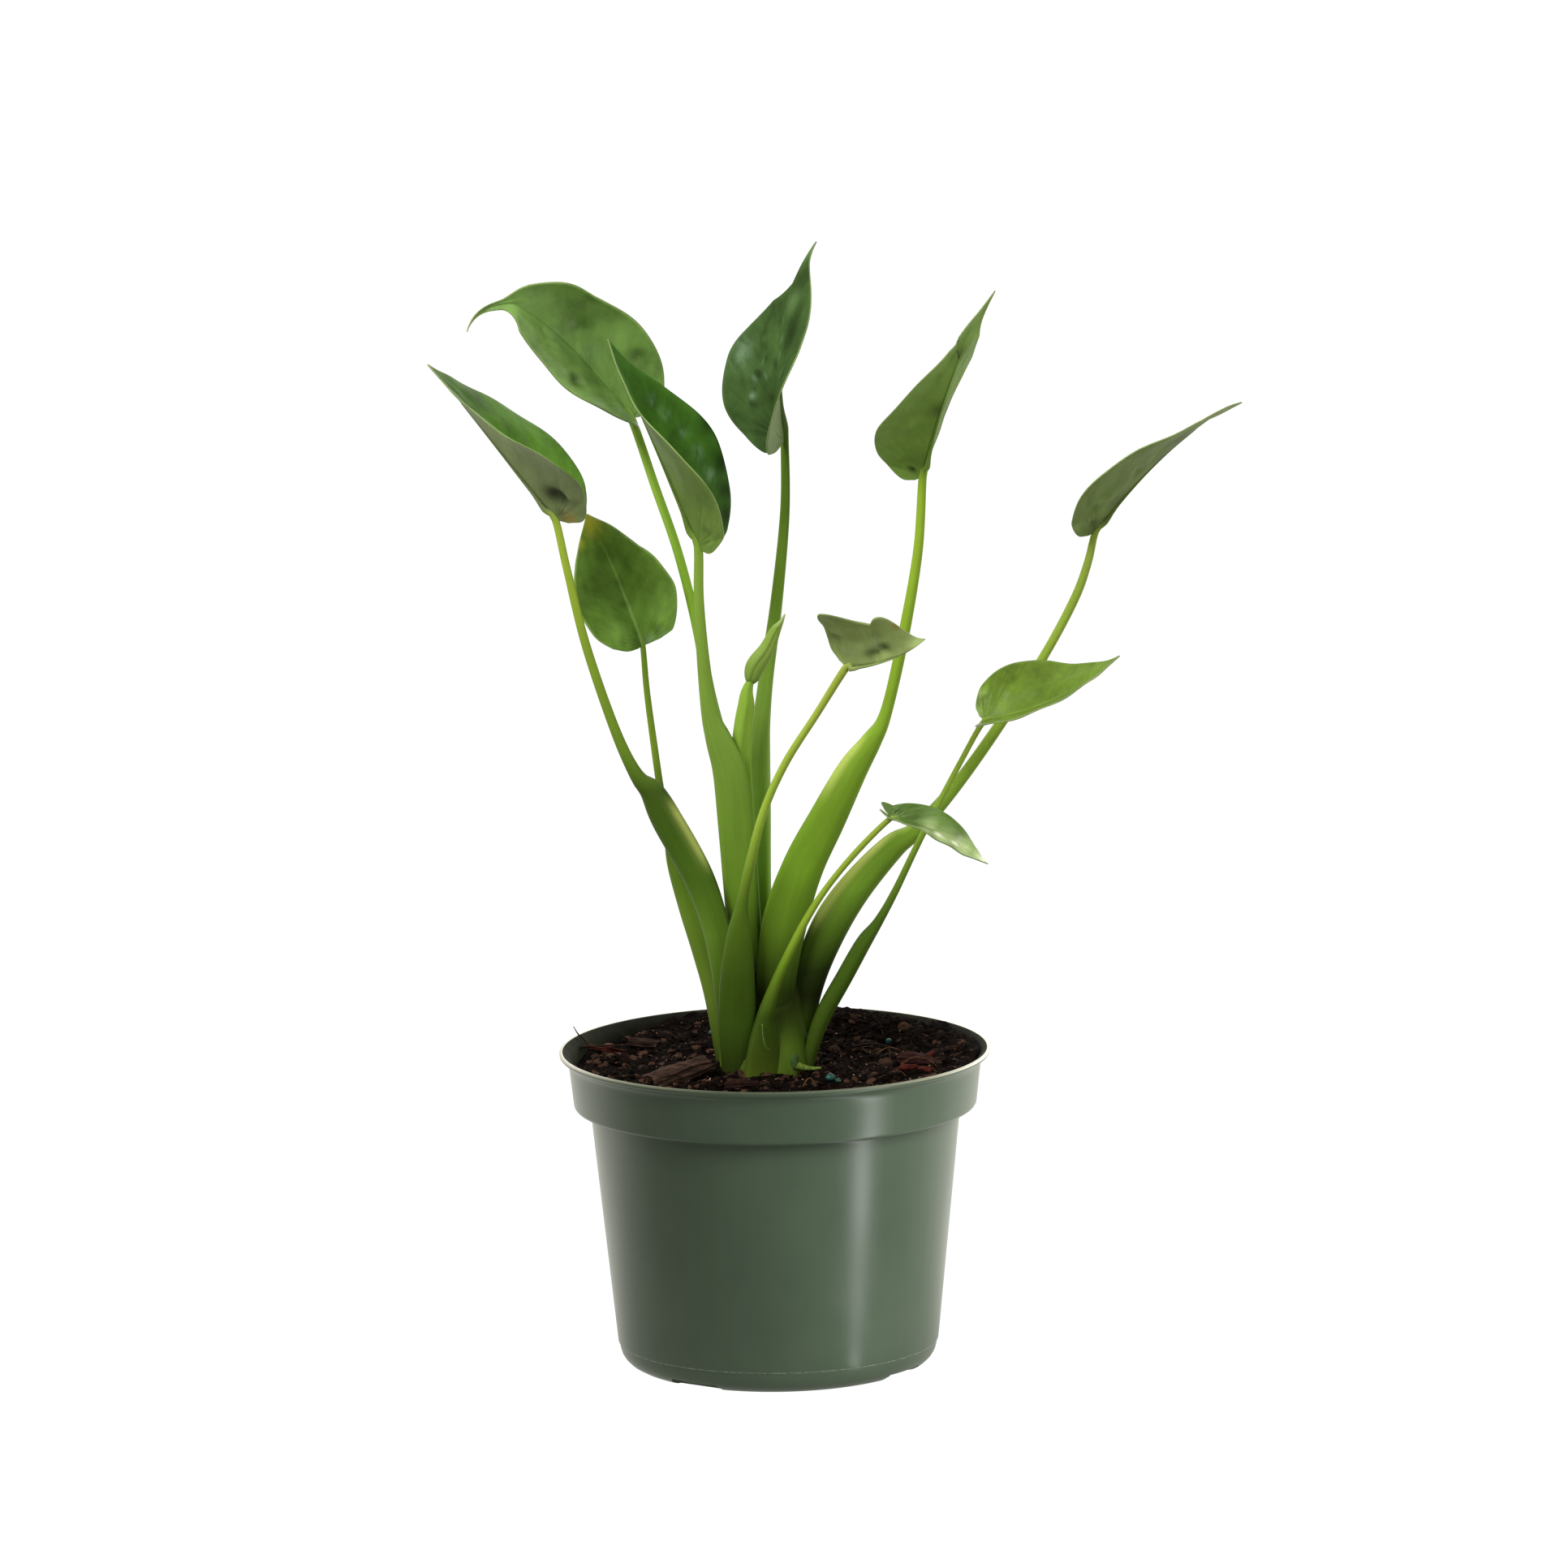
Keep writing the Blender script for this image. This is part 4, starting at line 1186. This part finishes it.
stalks = {                                   # places with the breadth seen from the front
    "leaf_8": ((-4.3, -14, 115.8, 15.6), (-3.8, -14.9, 128.6, 11.8), (-3.1, -16.1, 138.3, 6.8),
               (-0.1, -17.7, 148.7, 4.4), (4.6, -20, 160.4, 3.4), (12.9, -24, 177.4, 2.8),
               (21.6, -28, 191.3, 2.3), (33.4, -33.3, 206.2, 2.3), (44.3, -38, 217.5, 2)),
    "leaf_9": ((-14.5, -9, 114.9, 11.8), (-14.2, -11.7, 135.1, 14.3), (-13.7, -15.4, 154.7, 13.1),
               (-12.8, -19, 171.2, 9.3), (-11.4, -22.2, 184.3, 4.7), (-8.1, -26.3, 200.1, 3.9),
               (-2.9, -32, 220.5, 3.1), (5.6, -38.2, 240.2, 3), (17.5, -45.3, 259.9, 2.8),
               (28.3, -52, 277.6, 3)),
    "leaf_7": ((12.5, -4, 113.5, 4), (14.5, -4.7, 124.4, 5.3), (18.9, -5.8, 136.6, 6.5),
               (26.8, -7.6, 151.1, 6.5), (34.4, -9.6, 164.9, 5.9), (40.1, -10.9, 173.3, 3.7),
               (46.7, -12.9, 185.5, 2.8), (57, -16.5, 207.4, 2.4), (71.7, -21.7, 236.3, 2.1),
               (81, -25, 252.7, 2.1)),
    "leaf_1": ((-16.1, -2, 113.5, 8.1), (-17.6, -2.8, 142.8, 9.7), (-21.2, -3.4, 168.2, 10.6),
               (-27.9, -4, 189.9, 11.9), (-39.8, -4.7, 212.8, 12.0), (-45.5, -5, 223.9, 9.2),
               (-51.2, -5.3, 230.3, 5.4), (-59, -5.8, 247.8, 3.9), (-69.6, -6.7, 280.9, 3.4),
               (-76.4, -7.5, 310.8, 3), (-79.8, -8, 328.6, 2.8)),
    "leaf_5": ((0.3, -3, 113.4, 11.6), (0.4, -5.4, 146.2, 15.3), (4.0, -7.8, 171.9, 17.6),
               (11.3, -10.3, 194.3, 16.1), (20.9, -12.6, 213.5, 14.4), (30.7, -15.1, 232.6, 11.6),
               (38.3, -16.7, 244.3, 7.8), (43.7, -18.1, 254.8, 4.7), (50.4, -21.8, 283.4, 4.4),
               (56.5, -26.3, 318.2, 3.7), (58.6, -30, 345.9, 3.1)),
    "leaf_6": ((7.5, 1, 112.5, 8.7), (9.6, 0.9, 132.2, 11.5), (13.9, 0.8, 151.1, 13.1),
               (21.5, 0.8, 169.4, 14.4), (31.7, 0.7, 184.7, 12.9), (45.7, 0.6, 200, 10.1),
               (55.1, 0.6, 206.6, 6.6), (69.2, 0.5, 222.0, 4.8), (85.7, 0.3, 244.6, 4.2),
               (103.7, 0.2, 272.1, 3.5), (115.9, 0.1, 294.5, 3.4), (121.2, 0.1, 308.5, 3.1), (124.4, 0, 320, 2.6)),
    "leaf_3": ((-9.3, 5, 111.9, 9.3), (-10.6, 3.1, 151, 11.8), (-12.3, 1.4, 186.1, 13.1),
               (-13.8, 0.2, 211.6, 13.7), (-15.7, -0.7, 230.6, 13.1), (-19.6, -1.3, 242.7, 10.3),
               (-22.8, -1.8, 252.9, 6.9), (-25, -2.8, 271.9, 5), (-26.5, -4, 297.1, 3.9),
               (-26.5, -5, 317.8, 3.4)),
    "new_leaf": ((-7.4, 4, 112.1, 8.1), (-8.7, 4, 157.1, 9.3), (-10.1, 4, 188.8, 9.3),
                 (-11.1, 4, 210.8, 9), (-11.7, 4, 232.9, 8.4), (-10.6, 4, 247, 7.2),
                 (-9.3, 4, 255, 6.4), (-8.8, 4, 260.5, 4.4), (-6.9, 4.4, 266, 2.0)),
    "leaf_4": ((-5, 9, 111, 8.7), (-5.7, 11.6, 152.4, 10.6), (-5.8, 14.8, 186.7, 10.6),
               (-5.4, 17.4, 211.5, 10.3), (-4.7, 19.9, 233.1, 9), (-3.3, 21.6, 247, 6.8),
               (-1.2, 23.7, 263.9, 5.6), (3, 27.2, 291.6, 4.7), (6.6, 31.9, 325.4, 3.7),
               (5.9, 35, 347.5, 3.1)),
    "leaf_10": ((-18.1, 7, 111.6, 7.5), (-22.6, 12.4, 139.8, 7.9), (-27.5, 16, 158.2, 7.8),
                (-32.2, 19, 173.5, 7.6), (-36.6, 22.3, 190.4, 7.5), (-38.9, 24.6, 202.7, 5.3),
                (-41.9, 27, 214.9, 3.1), (-44.7, 30.8, 234.9, 2.7), (-47.3, 34.9, 256.3, 2.4),
                (-48.6, 38, 272.6, 2.1)),
    "leaf_2": ((-8.1, 13, 110.2, 8.1), (-9.4, 15.7, 148.5, 10), (-11.5, 18.9, 179.6, 10.6),
               (-15.2, 22.2, 207.6, 10), (-18.9, 25.5, 232.3, 7.5), (-23, 28.5, 254, 4.7),
               (-27.9, 32.5, 281.7, 3.7), (-34.7, 36.9, 309.5, 3.4), (-43, 41, 334.1, 3.3),
               (-51.4, 45, 357.2, 3.1)),
}

stalkColours = {                             # height in millimetres and colour, from the foot up
    "leaf_1": ((113, (42, 44, 16)), (143, (72, 98, 26)), (168, (99, 133, 41)), (190, (75, 106, 29)),
               (224, (63, 86, 25)), (240, (104, 135, 39)), (320, (158, 181, 60))),
    "leaf_2": ((149, (46, 64, 16)), (180, (108, 143, 42)), (232, (128, 165, 59)), (300, (132, 171, 53)), (357, (156, 196, 76))),
    "leaf_3": ((112, (44, 50, 18)), (151, (47, 64, 16)), (186, (105, 139, 40)), (243, (120, 153, 59)),
               (297, (131, 163, 63))),
    "leaf_4": ((152, (100, 134, 38)), (187, (136, 180, 62)), (240, (127, 161, 65)), (292, (114, 149, 47)),
               (325, (83, 112, 29))),
    "leaf_5": ((113, (48, 54, 16)), (146, (48, 64, 18)), (158, (76, 102, 28)), (172, (104, 138, 38)),
               (194, (125, 165, 45)), (233, (130, 167, 50)), (318, (153, 185, 55))),
    "leaf_6": ((112, (41, 50, 15)), (132, (64, 84, 23)), (143, (32, 40, 12)), (153, (40, 54, 15)),
               (169, (84, 112, 32)), (185, (118, 155, 48)), (206, (124, 159, 52)), (272, (148, 175, 64)),
               (320, (150, 172, 72))),
    "leaf_7": ((113, (45, 54, 16)), (124, (65, 84, 24)), (151, (74, 101, 28)), (173, (80, 110, 31)),
               (207, (134, 166, 56)), (253, (154, 180, 65))),
    "leaf_8": ((112, (79, 94, 26)), (122, (66, 83, 23)), (138, (62, 85, 23)), (149, (92, 116, 32)),
               (160, (115, 147, 39)), (177, (148, 176, 54)), (218, (147, 168, 62))),
    "leaf_9": ((115, (44, 56, 16)), (135, (60, 84, 22)), (155, (66, 90, 24)), (184, (92, 121, 34)),
               (220, (162, 192, 68)), (278, (160, 176, 68))),
    "leaf_10": ((112, (36, 43, 13)), (140, (96, 120, 37)), (173, (100, 130, 40)), (192, (86, 113, 33)),
                (204, (46, 64, 16)), (235, (122, 150, 44)), (273, (104, 132, 38))),
    "new_leaf": ((157, (80, 109, 31)), (189, (103, 139, 42)), (233, (123, 159, 54)), (247, (141, 175, 65)),
                 (278, (132, 169, 55)), (290, (176, 198, 109))),
}


sheathEdges = {                              # side of the pale edge, its lowest and highest z, strength
    "leaf_6": (-1, 172, 204, 1.0),
    "leaf_1": (1, 196, 216, 0.5),
    "leaf_5": (-1, 225, 243, 0.45),
}


def edgeShare(name, point, centre, breadth):   # how far a place lies in the pale edge
    side, low, high, strength = sheathEdges.get(name, (1, 0, 0, 0.0))
    out = side * (point[0] - centre[0]) / (0.5 * breadth)
    level = smoothStep(low - 8, low + 4, centre[2]) * (1 - smoothStep(high - 4, high + 6, centre[2]))
    return strength * float(smoothStep(0.3, 0.8, out)) * float(level)


def stalkMaterial(name, stops, keelColour, specular=0.05):
    material, tree, shader = newMaterial(name, roughness=0.45, specular=specular)
    where = coordinate(tree)
    parts = addNode(tree, "ShaderNodeSeparateXYZ")
    tree.links.new(where, parts.inputs[0])
    low, high = stops[0][0], stops[-1][0]
    height = mathNode(tree, "DIVIDE", mathNode(tree, "SUBTRACT", parts.outputs["Z"], low * mm), (high - low) * mm,
                      clamp=True)
    base = rampNode(tree, height, [((z - low) / (high - low), linear(colour)) for z, colour in stops])
    base = mixNode(tree, attribute(tree, "keel").outputs["Fac"], base, linear(keelColour))
    base = mixNode(tree, attribute(tree, "paleEdge").outputs["Fac"], base, linear((232, 242, 132)))
    lanes = attribute(tree, "stalkMap").outputs["Vector"]
    line = noiseNode(tree, stretched(tree, lanes, (7.0, 0.04, 7.0)), 1.0, 4.0, 0.6)
    cloud = noiseNode(tree, where, 60.0, 4.0)
    speck = noiseNode(tree, where, 1300.0, 2.0, 0.5)
    base = mixNode(tree, 0.5, base, rampNode(tree, line, [(0.3, 0.74), (0.7, 1.0)]), "MULTIPLY")
    base = mixNode(tree, 0.5, base, rampNode(tree, cloud, [(0.3, 0.82), (0.7, 1.0)]), "MULTIPLY")
    base = mixNode(tree, 0.04, base, rampNode(tree, speck, [(0.35, 0.6), (0.65, 1.0)]), "MULTIPLY")
    tree.links.new(base, shader.inputs["Base Color"])
    bumpNode(tree, shader, line, 0.00012, 0.5)
    return material


def keelRoute(leaf, breadth):                # the stalk runs on under the midrib as a keel
    _, length, _, _, _ = bladeAxes(leaf)
    places = []
    for reach in (0.07, 0.16, 0.28, 0.42, 0.58, 0.74):
        spot, up = foldedPlace(leaf, np.array(0.0), np.array(reach), 1)
        thick = breadth * (1 - reach) ** 1.3 * (0.55 if reach > 0.1 else 0.8)
        places.append((*(spot - up * (0.42 * thick + 0.1)), max(thick, 0.35)))
    return tuple(places)


def stalkFrames(route, fine, extra):
    route = [np.array(point, float) for point in route]
    first, second = route[0], route[1]
    foot = first + (first - second) * (first[2] - stalkShape["foot"]) / (second[2] - first[2])
    foot[3] = first[3]
    points = np.array([foot] + route + [np.array(point, float) for point in extra])
    lengths = np.linalg.norm(np.diff(points[:, :3], axis=0), axis=1)
    spots = []
    for i, length in enumerate(lengths):
        count = max(2, math.ceil(length / fine))
        spots += [(i + k / count) / len(lengths) for k in range(count)]
    spots = np.array(spots + [1.0])
    keel = smoothStep(-0.4, 1.4, spots * len(lengths) - len(route))
    return smoothPath(points, spots), keel if extra else keel * 0.0


def stalkInward(name, stations):
    middle = stations[len(stations) // 2]
    inward = np.array((mix["crown"][0] - middle[0], mix["crown"][1] - middle[1], 0.0))
    if name.startswith("new_leaf"):
        inward = np.array((0.6, -0.8, 0.0))
    inward = unit(inward)
    sideways = abs(inward[0]) < 0.72
    if not sideways:
        inward = np.array((math.copysign(1.0, inward[0]), 0.0, 0.0))
    return inward + np.array((0.0, 0.0, 0.25)), sideways


def makeStalk(name, route):
    keel = ()
    if name in leaves:
        route = route[:-1] + ((*leaves[name]["joint"], route[-1][3]),)
        keel = keelRoute(leaves[name], route[-1][3])
    inward, sideways = stalkInward(name, stalkFrames(route, stalkShape["step"], ())[0])
    stations, onBlade = stalkFrames(route, stalkShape["step"], keel)
    around = stalkShape["around"]
    points, maps, faces, paleEdge = [], [], [], []
    run = 0.0
    last = len(stations) - 1
    for i, station in enumerate(stations):
        centre = station[:3]
        heading = unit(stations[min(i + 1, last)][:3] - stations[max(i - 1, 0)][:3])
        if i == 0:
            heading = np.array((0.0, 0.0, 1.0))
        else:
            run += np.linalg.norm(centre - stations[i - 1][:3])
        innerWay = unit(inward - (inward @ heading) * heading)
        sideWay = np.cross(heading, innerWay)
        core = min(stalkShape["core"], station[3]) / 2
        extra = station[3] - 2 * core
        if sideways:
            half, back, inner = station[3] / 2, core, core + 0.3 * extra
        else:
            half, back, inner = core + 0.22 * extra, station[3] / 2, station[3] / 2
        groove = 0.2 * extra
        for k in range(around):
            angle = 2 * math.pi * k / around
            side = half * math.sin(angle)
            depth = -back * math.cos(angle)
            if math.cos(angle) < 0:
                depth = inner * (1 - math.sin(angle) ** 6) - groove * math.cos(angle) ** 12
            points.append(centre + side * sideWay + depth * innerWay)
            maps.append((math.sin(angle), run, math.cos(angle)))
            paleEdge.append(edgeShare(name, points[-1], centre, station[3]))
    for i in range(last):
        for k in range(around):
            n = (k + 1) % around
            low, high = i * around, (i + 1) * around
            faces.append((low + k, low + n, high + n, high + k))
    faces.append(tuple(reversed(range(around))))
    faces.append(tuple(range(last * around, (last + 1) * around)))
    keelColour = leaves[name]["under"] if name in leaves else stalkColours[name][-1][1]
    obj = meshObject(name.replace("leaf", "stalk"), points, faces,
                     [stalkMaterial(name + "_stalkSkin", stalkColours[name], keelColour)],
                     attributes={"stalkMap": maps, "keel": np.repeat(onBlade, around), "paleEdge": paleEdge})
    bm = bmesh.new()
    bm.from_mesh(obj.data)
    bmesh.ops.recalc_face_normals(bm, faces=bm.faces)
    bm.to_mesh(obj.data)
    bm.free()
    place(obj, "stalk_green", name + "_stalk")


for name, route in stalks.items():
    makeStalk(name, route)
print("stalks made")


# ---- the new leaf's blade, still rolled

newBlade = dict(around=48, stations=(        # place and the two half breadths; the roll's free edge faces the front
    (-7.8, 4.5, 263.0, 0.6, 0.6), (-7.4, 4.5, 264.0, 1.8, 1.5), (-6.6, 4.4, 266.0, 3.0, 2.4),
    (-5.0, 4.2, 270.4, 3.7, 2.9), (-0.8, 4.0, 276.7, 3.0, 2.4), (2.4, 3.8, 283.6, 2.1, 1.7),
    (4.6, 3.7, 287.0, 1.0, 0.9), (6.1, 3.6, 290.2, 0.3, 0.3)))


def makeNewBlade():
    stations = np.array(newBlade["stations"])
    around, count = newBlade["around"], 60
    points, maps, faces = [], [], []
    line = smoothPath(stations, np.linspace(0, 1, count + 1))
    for i in range(count + 1):
        ahead = line[min(i + 1, count), :3] - line[max(i - 1, 0), :3]
        over = unit(np.cross((0.0, 1.0, 0.0), ahead))
        deep = unit(np.cross(ahead, over))
        for k in range(around):
            turn = k / around
            angle = 2 * math.pi * turn - 0.6 * math.pi + 0.5 * i / count
            roll = 1 + 0.26 * (turn - 0.5)   # the sheet winds once round itself and ends in a step
            spot = line[i, :3] + roll * (line[i, 3] * math.cos(angle) * over + line[i, 4] * math.sin(angle) * deep)
            points.append(tuple(spot))
            maps.append((math.cos(angle), i / count, math.sin(angle)))
    for i in range(count):
        for k in range(around):
            n = (k + 1) % around
            faces.append((i * around + k, i * around + n, (i + 1) * around + n, (i + 1) * around + k))
    faces.append(tuple(reversed(range(around))))
    faces.append(tuple(range(count * around, (count + 1) * around)))
    stops = ((262, (96, 118, 60)), (266, (128, 156, 66)), (276, (140, 166, 76)), (285, (132, 162, 66)), (291, (190, 208, 150)))
    obj = meshObject("new_blade", points, faces, [stalkMaterial("newBladeSkin", stops, (128, 156, 66))],
                     attributes={"stalkMap": maps, "keel": np.zeros(len(points)), "paleEdge": np.zeros(len(points))})
    place(obj, "leaf_green")


makeNewBlade()
print("new blade rolled")


# ---- crown: the sheaths are grown together at the foot

crown = dict(around=64, levels=(             # height, middle x, middle y, half breadth, half depth
    (104.0, -3.0, 0.0, 16.6, 13.0), (112.0, -3.2, -0.4, 17.4, 13.6), (118.0, -3.4, -0.4, 17.8, 13.6),
    (126.0, -3.6, -0.2, 17.0, 13.0), (134.0, -3.0, 0.4, 15.6, 12.0), (142.0, -1.8, 1.2, 13.6, 10.8),
    (150.0, -0.4, 2.2, 11.2, 9.4), (158.0, 1.2, 3.2, 8.6, 7.6), (166.0, 2.6, 4.2, 5.6, 5.4), (173.0, 3.4, 4.8, 1.0, 1.0)))


def makeCrown():
    levels = np.array(crown["levels"])
    count = 60
    around = crown["around"]
    points, maps, faces, behind = [], [], [], []
    for i in range(count + 1):
        z, cx, cy, halfX, halfY = smoothPath(levels, np.array(i / count))
        for k in range(around):
            angle = 2 * math.pi * k / around
            ridge = 1 + 0.035 * math.sin(5 * angle + 0.4) + 0.02 * noise.noise(Vector((math.cos(angle) * 2, math.sin(angle) * 2, z / 14)))
            points.append((cx + halfX * ridge * math.cos(angle), cy + halfY * ridge * math.sin(angle), z))
            maps.append((math.cos(angle), z, math.sin(angle)))
            behind.append(0.8 * float(smoothStep(-0.2, 0.5, math.sin(angle))))
    for i in range(count):
        for k in range(around):
            n = (k + 1) % around
            faces.append((i * around + k, i * around + n, (i + 1) * around + n, (i + 1) * around + k))
    faces.append(tuple(reversed(range(around))))
    faces.append(tuple(range(count * around, (count + 1) * around)))
    stops = ((108, (64, 74, 24)), (117, (80, 102, 32)), (125, (84, 108, 33)), (133, (68, 88, 27)), (141, (50, 62, 20)),
             (150, (34, 42, 14)), (165, (42, 56, 17)))
    obj = meshObject("crown_base", points, faces, [stalkMaterial("crownSkin", stops, (84, 110, 34), 0.02)],
                     attributes={"stalkMap": maps, "keel": behind, "paleEdge": np.zeros(len(points))})
    place(obj, "stalk_green")


makeCrown()
print("crown made")
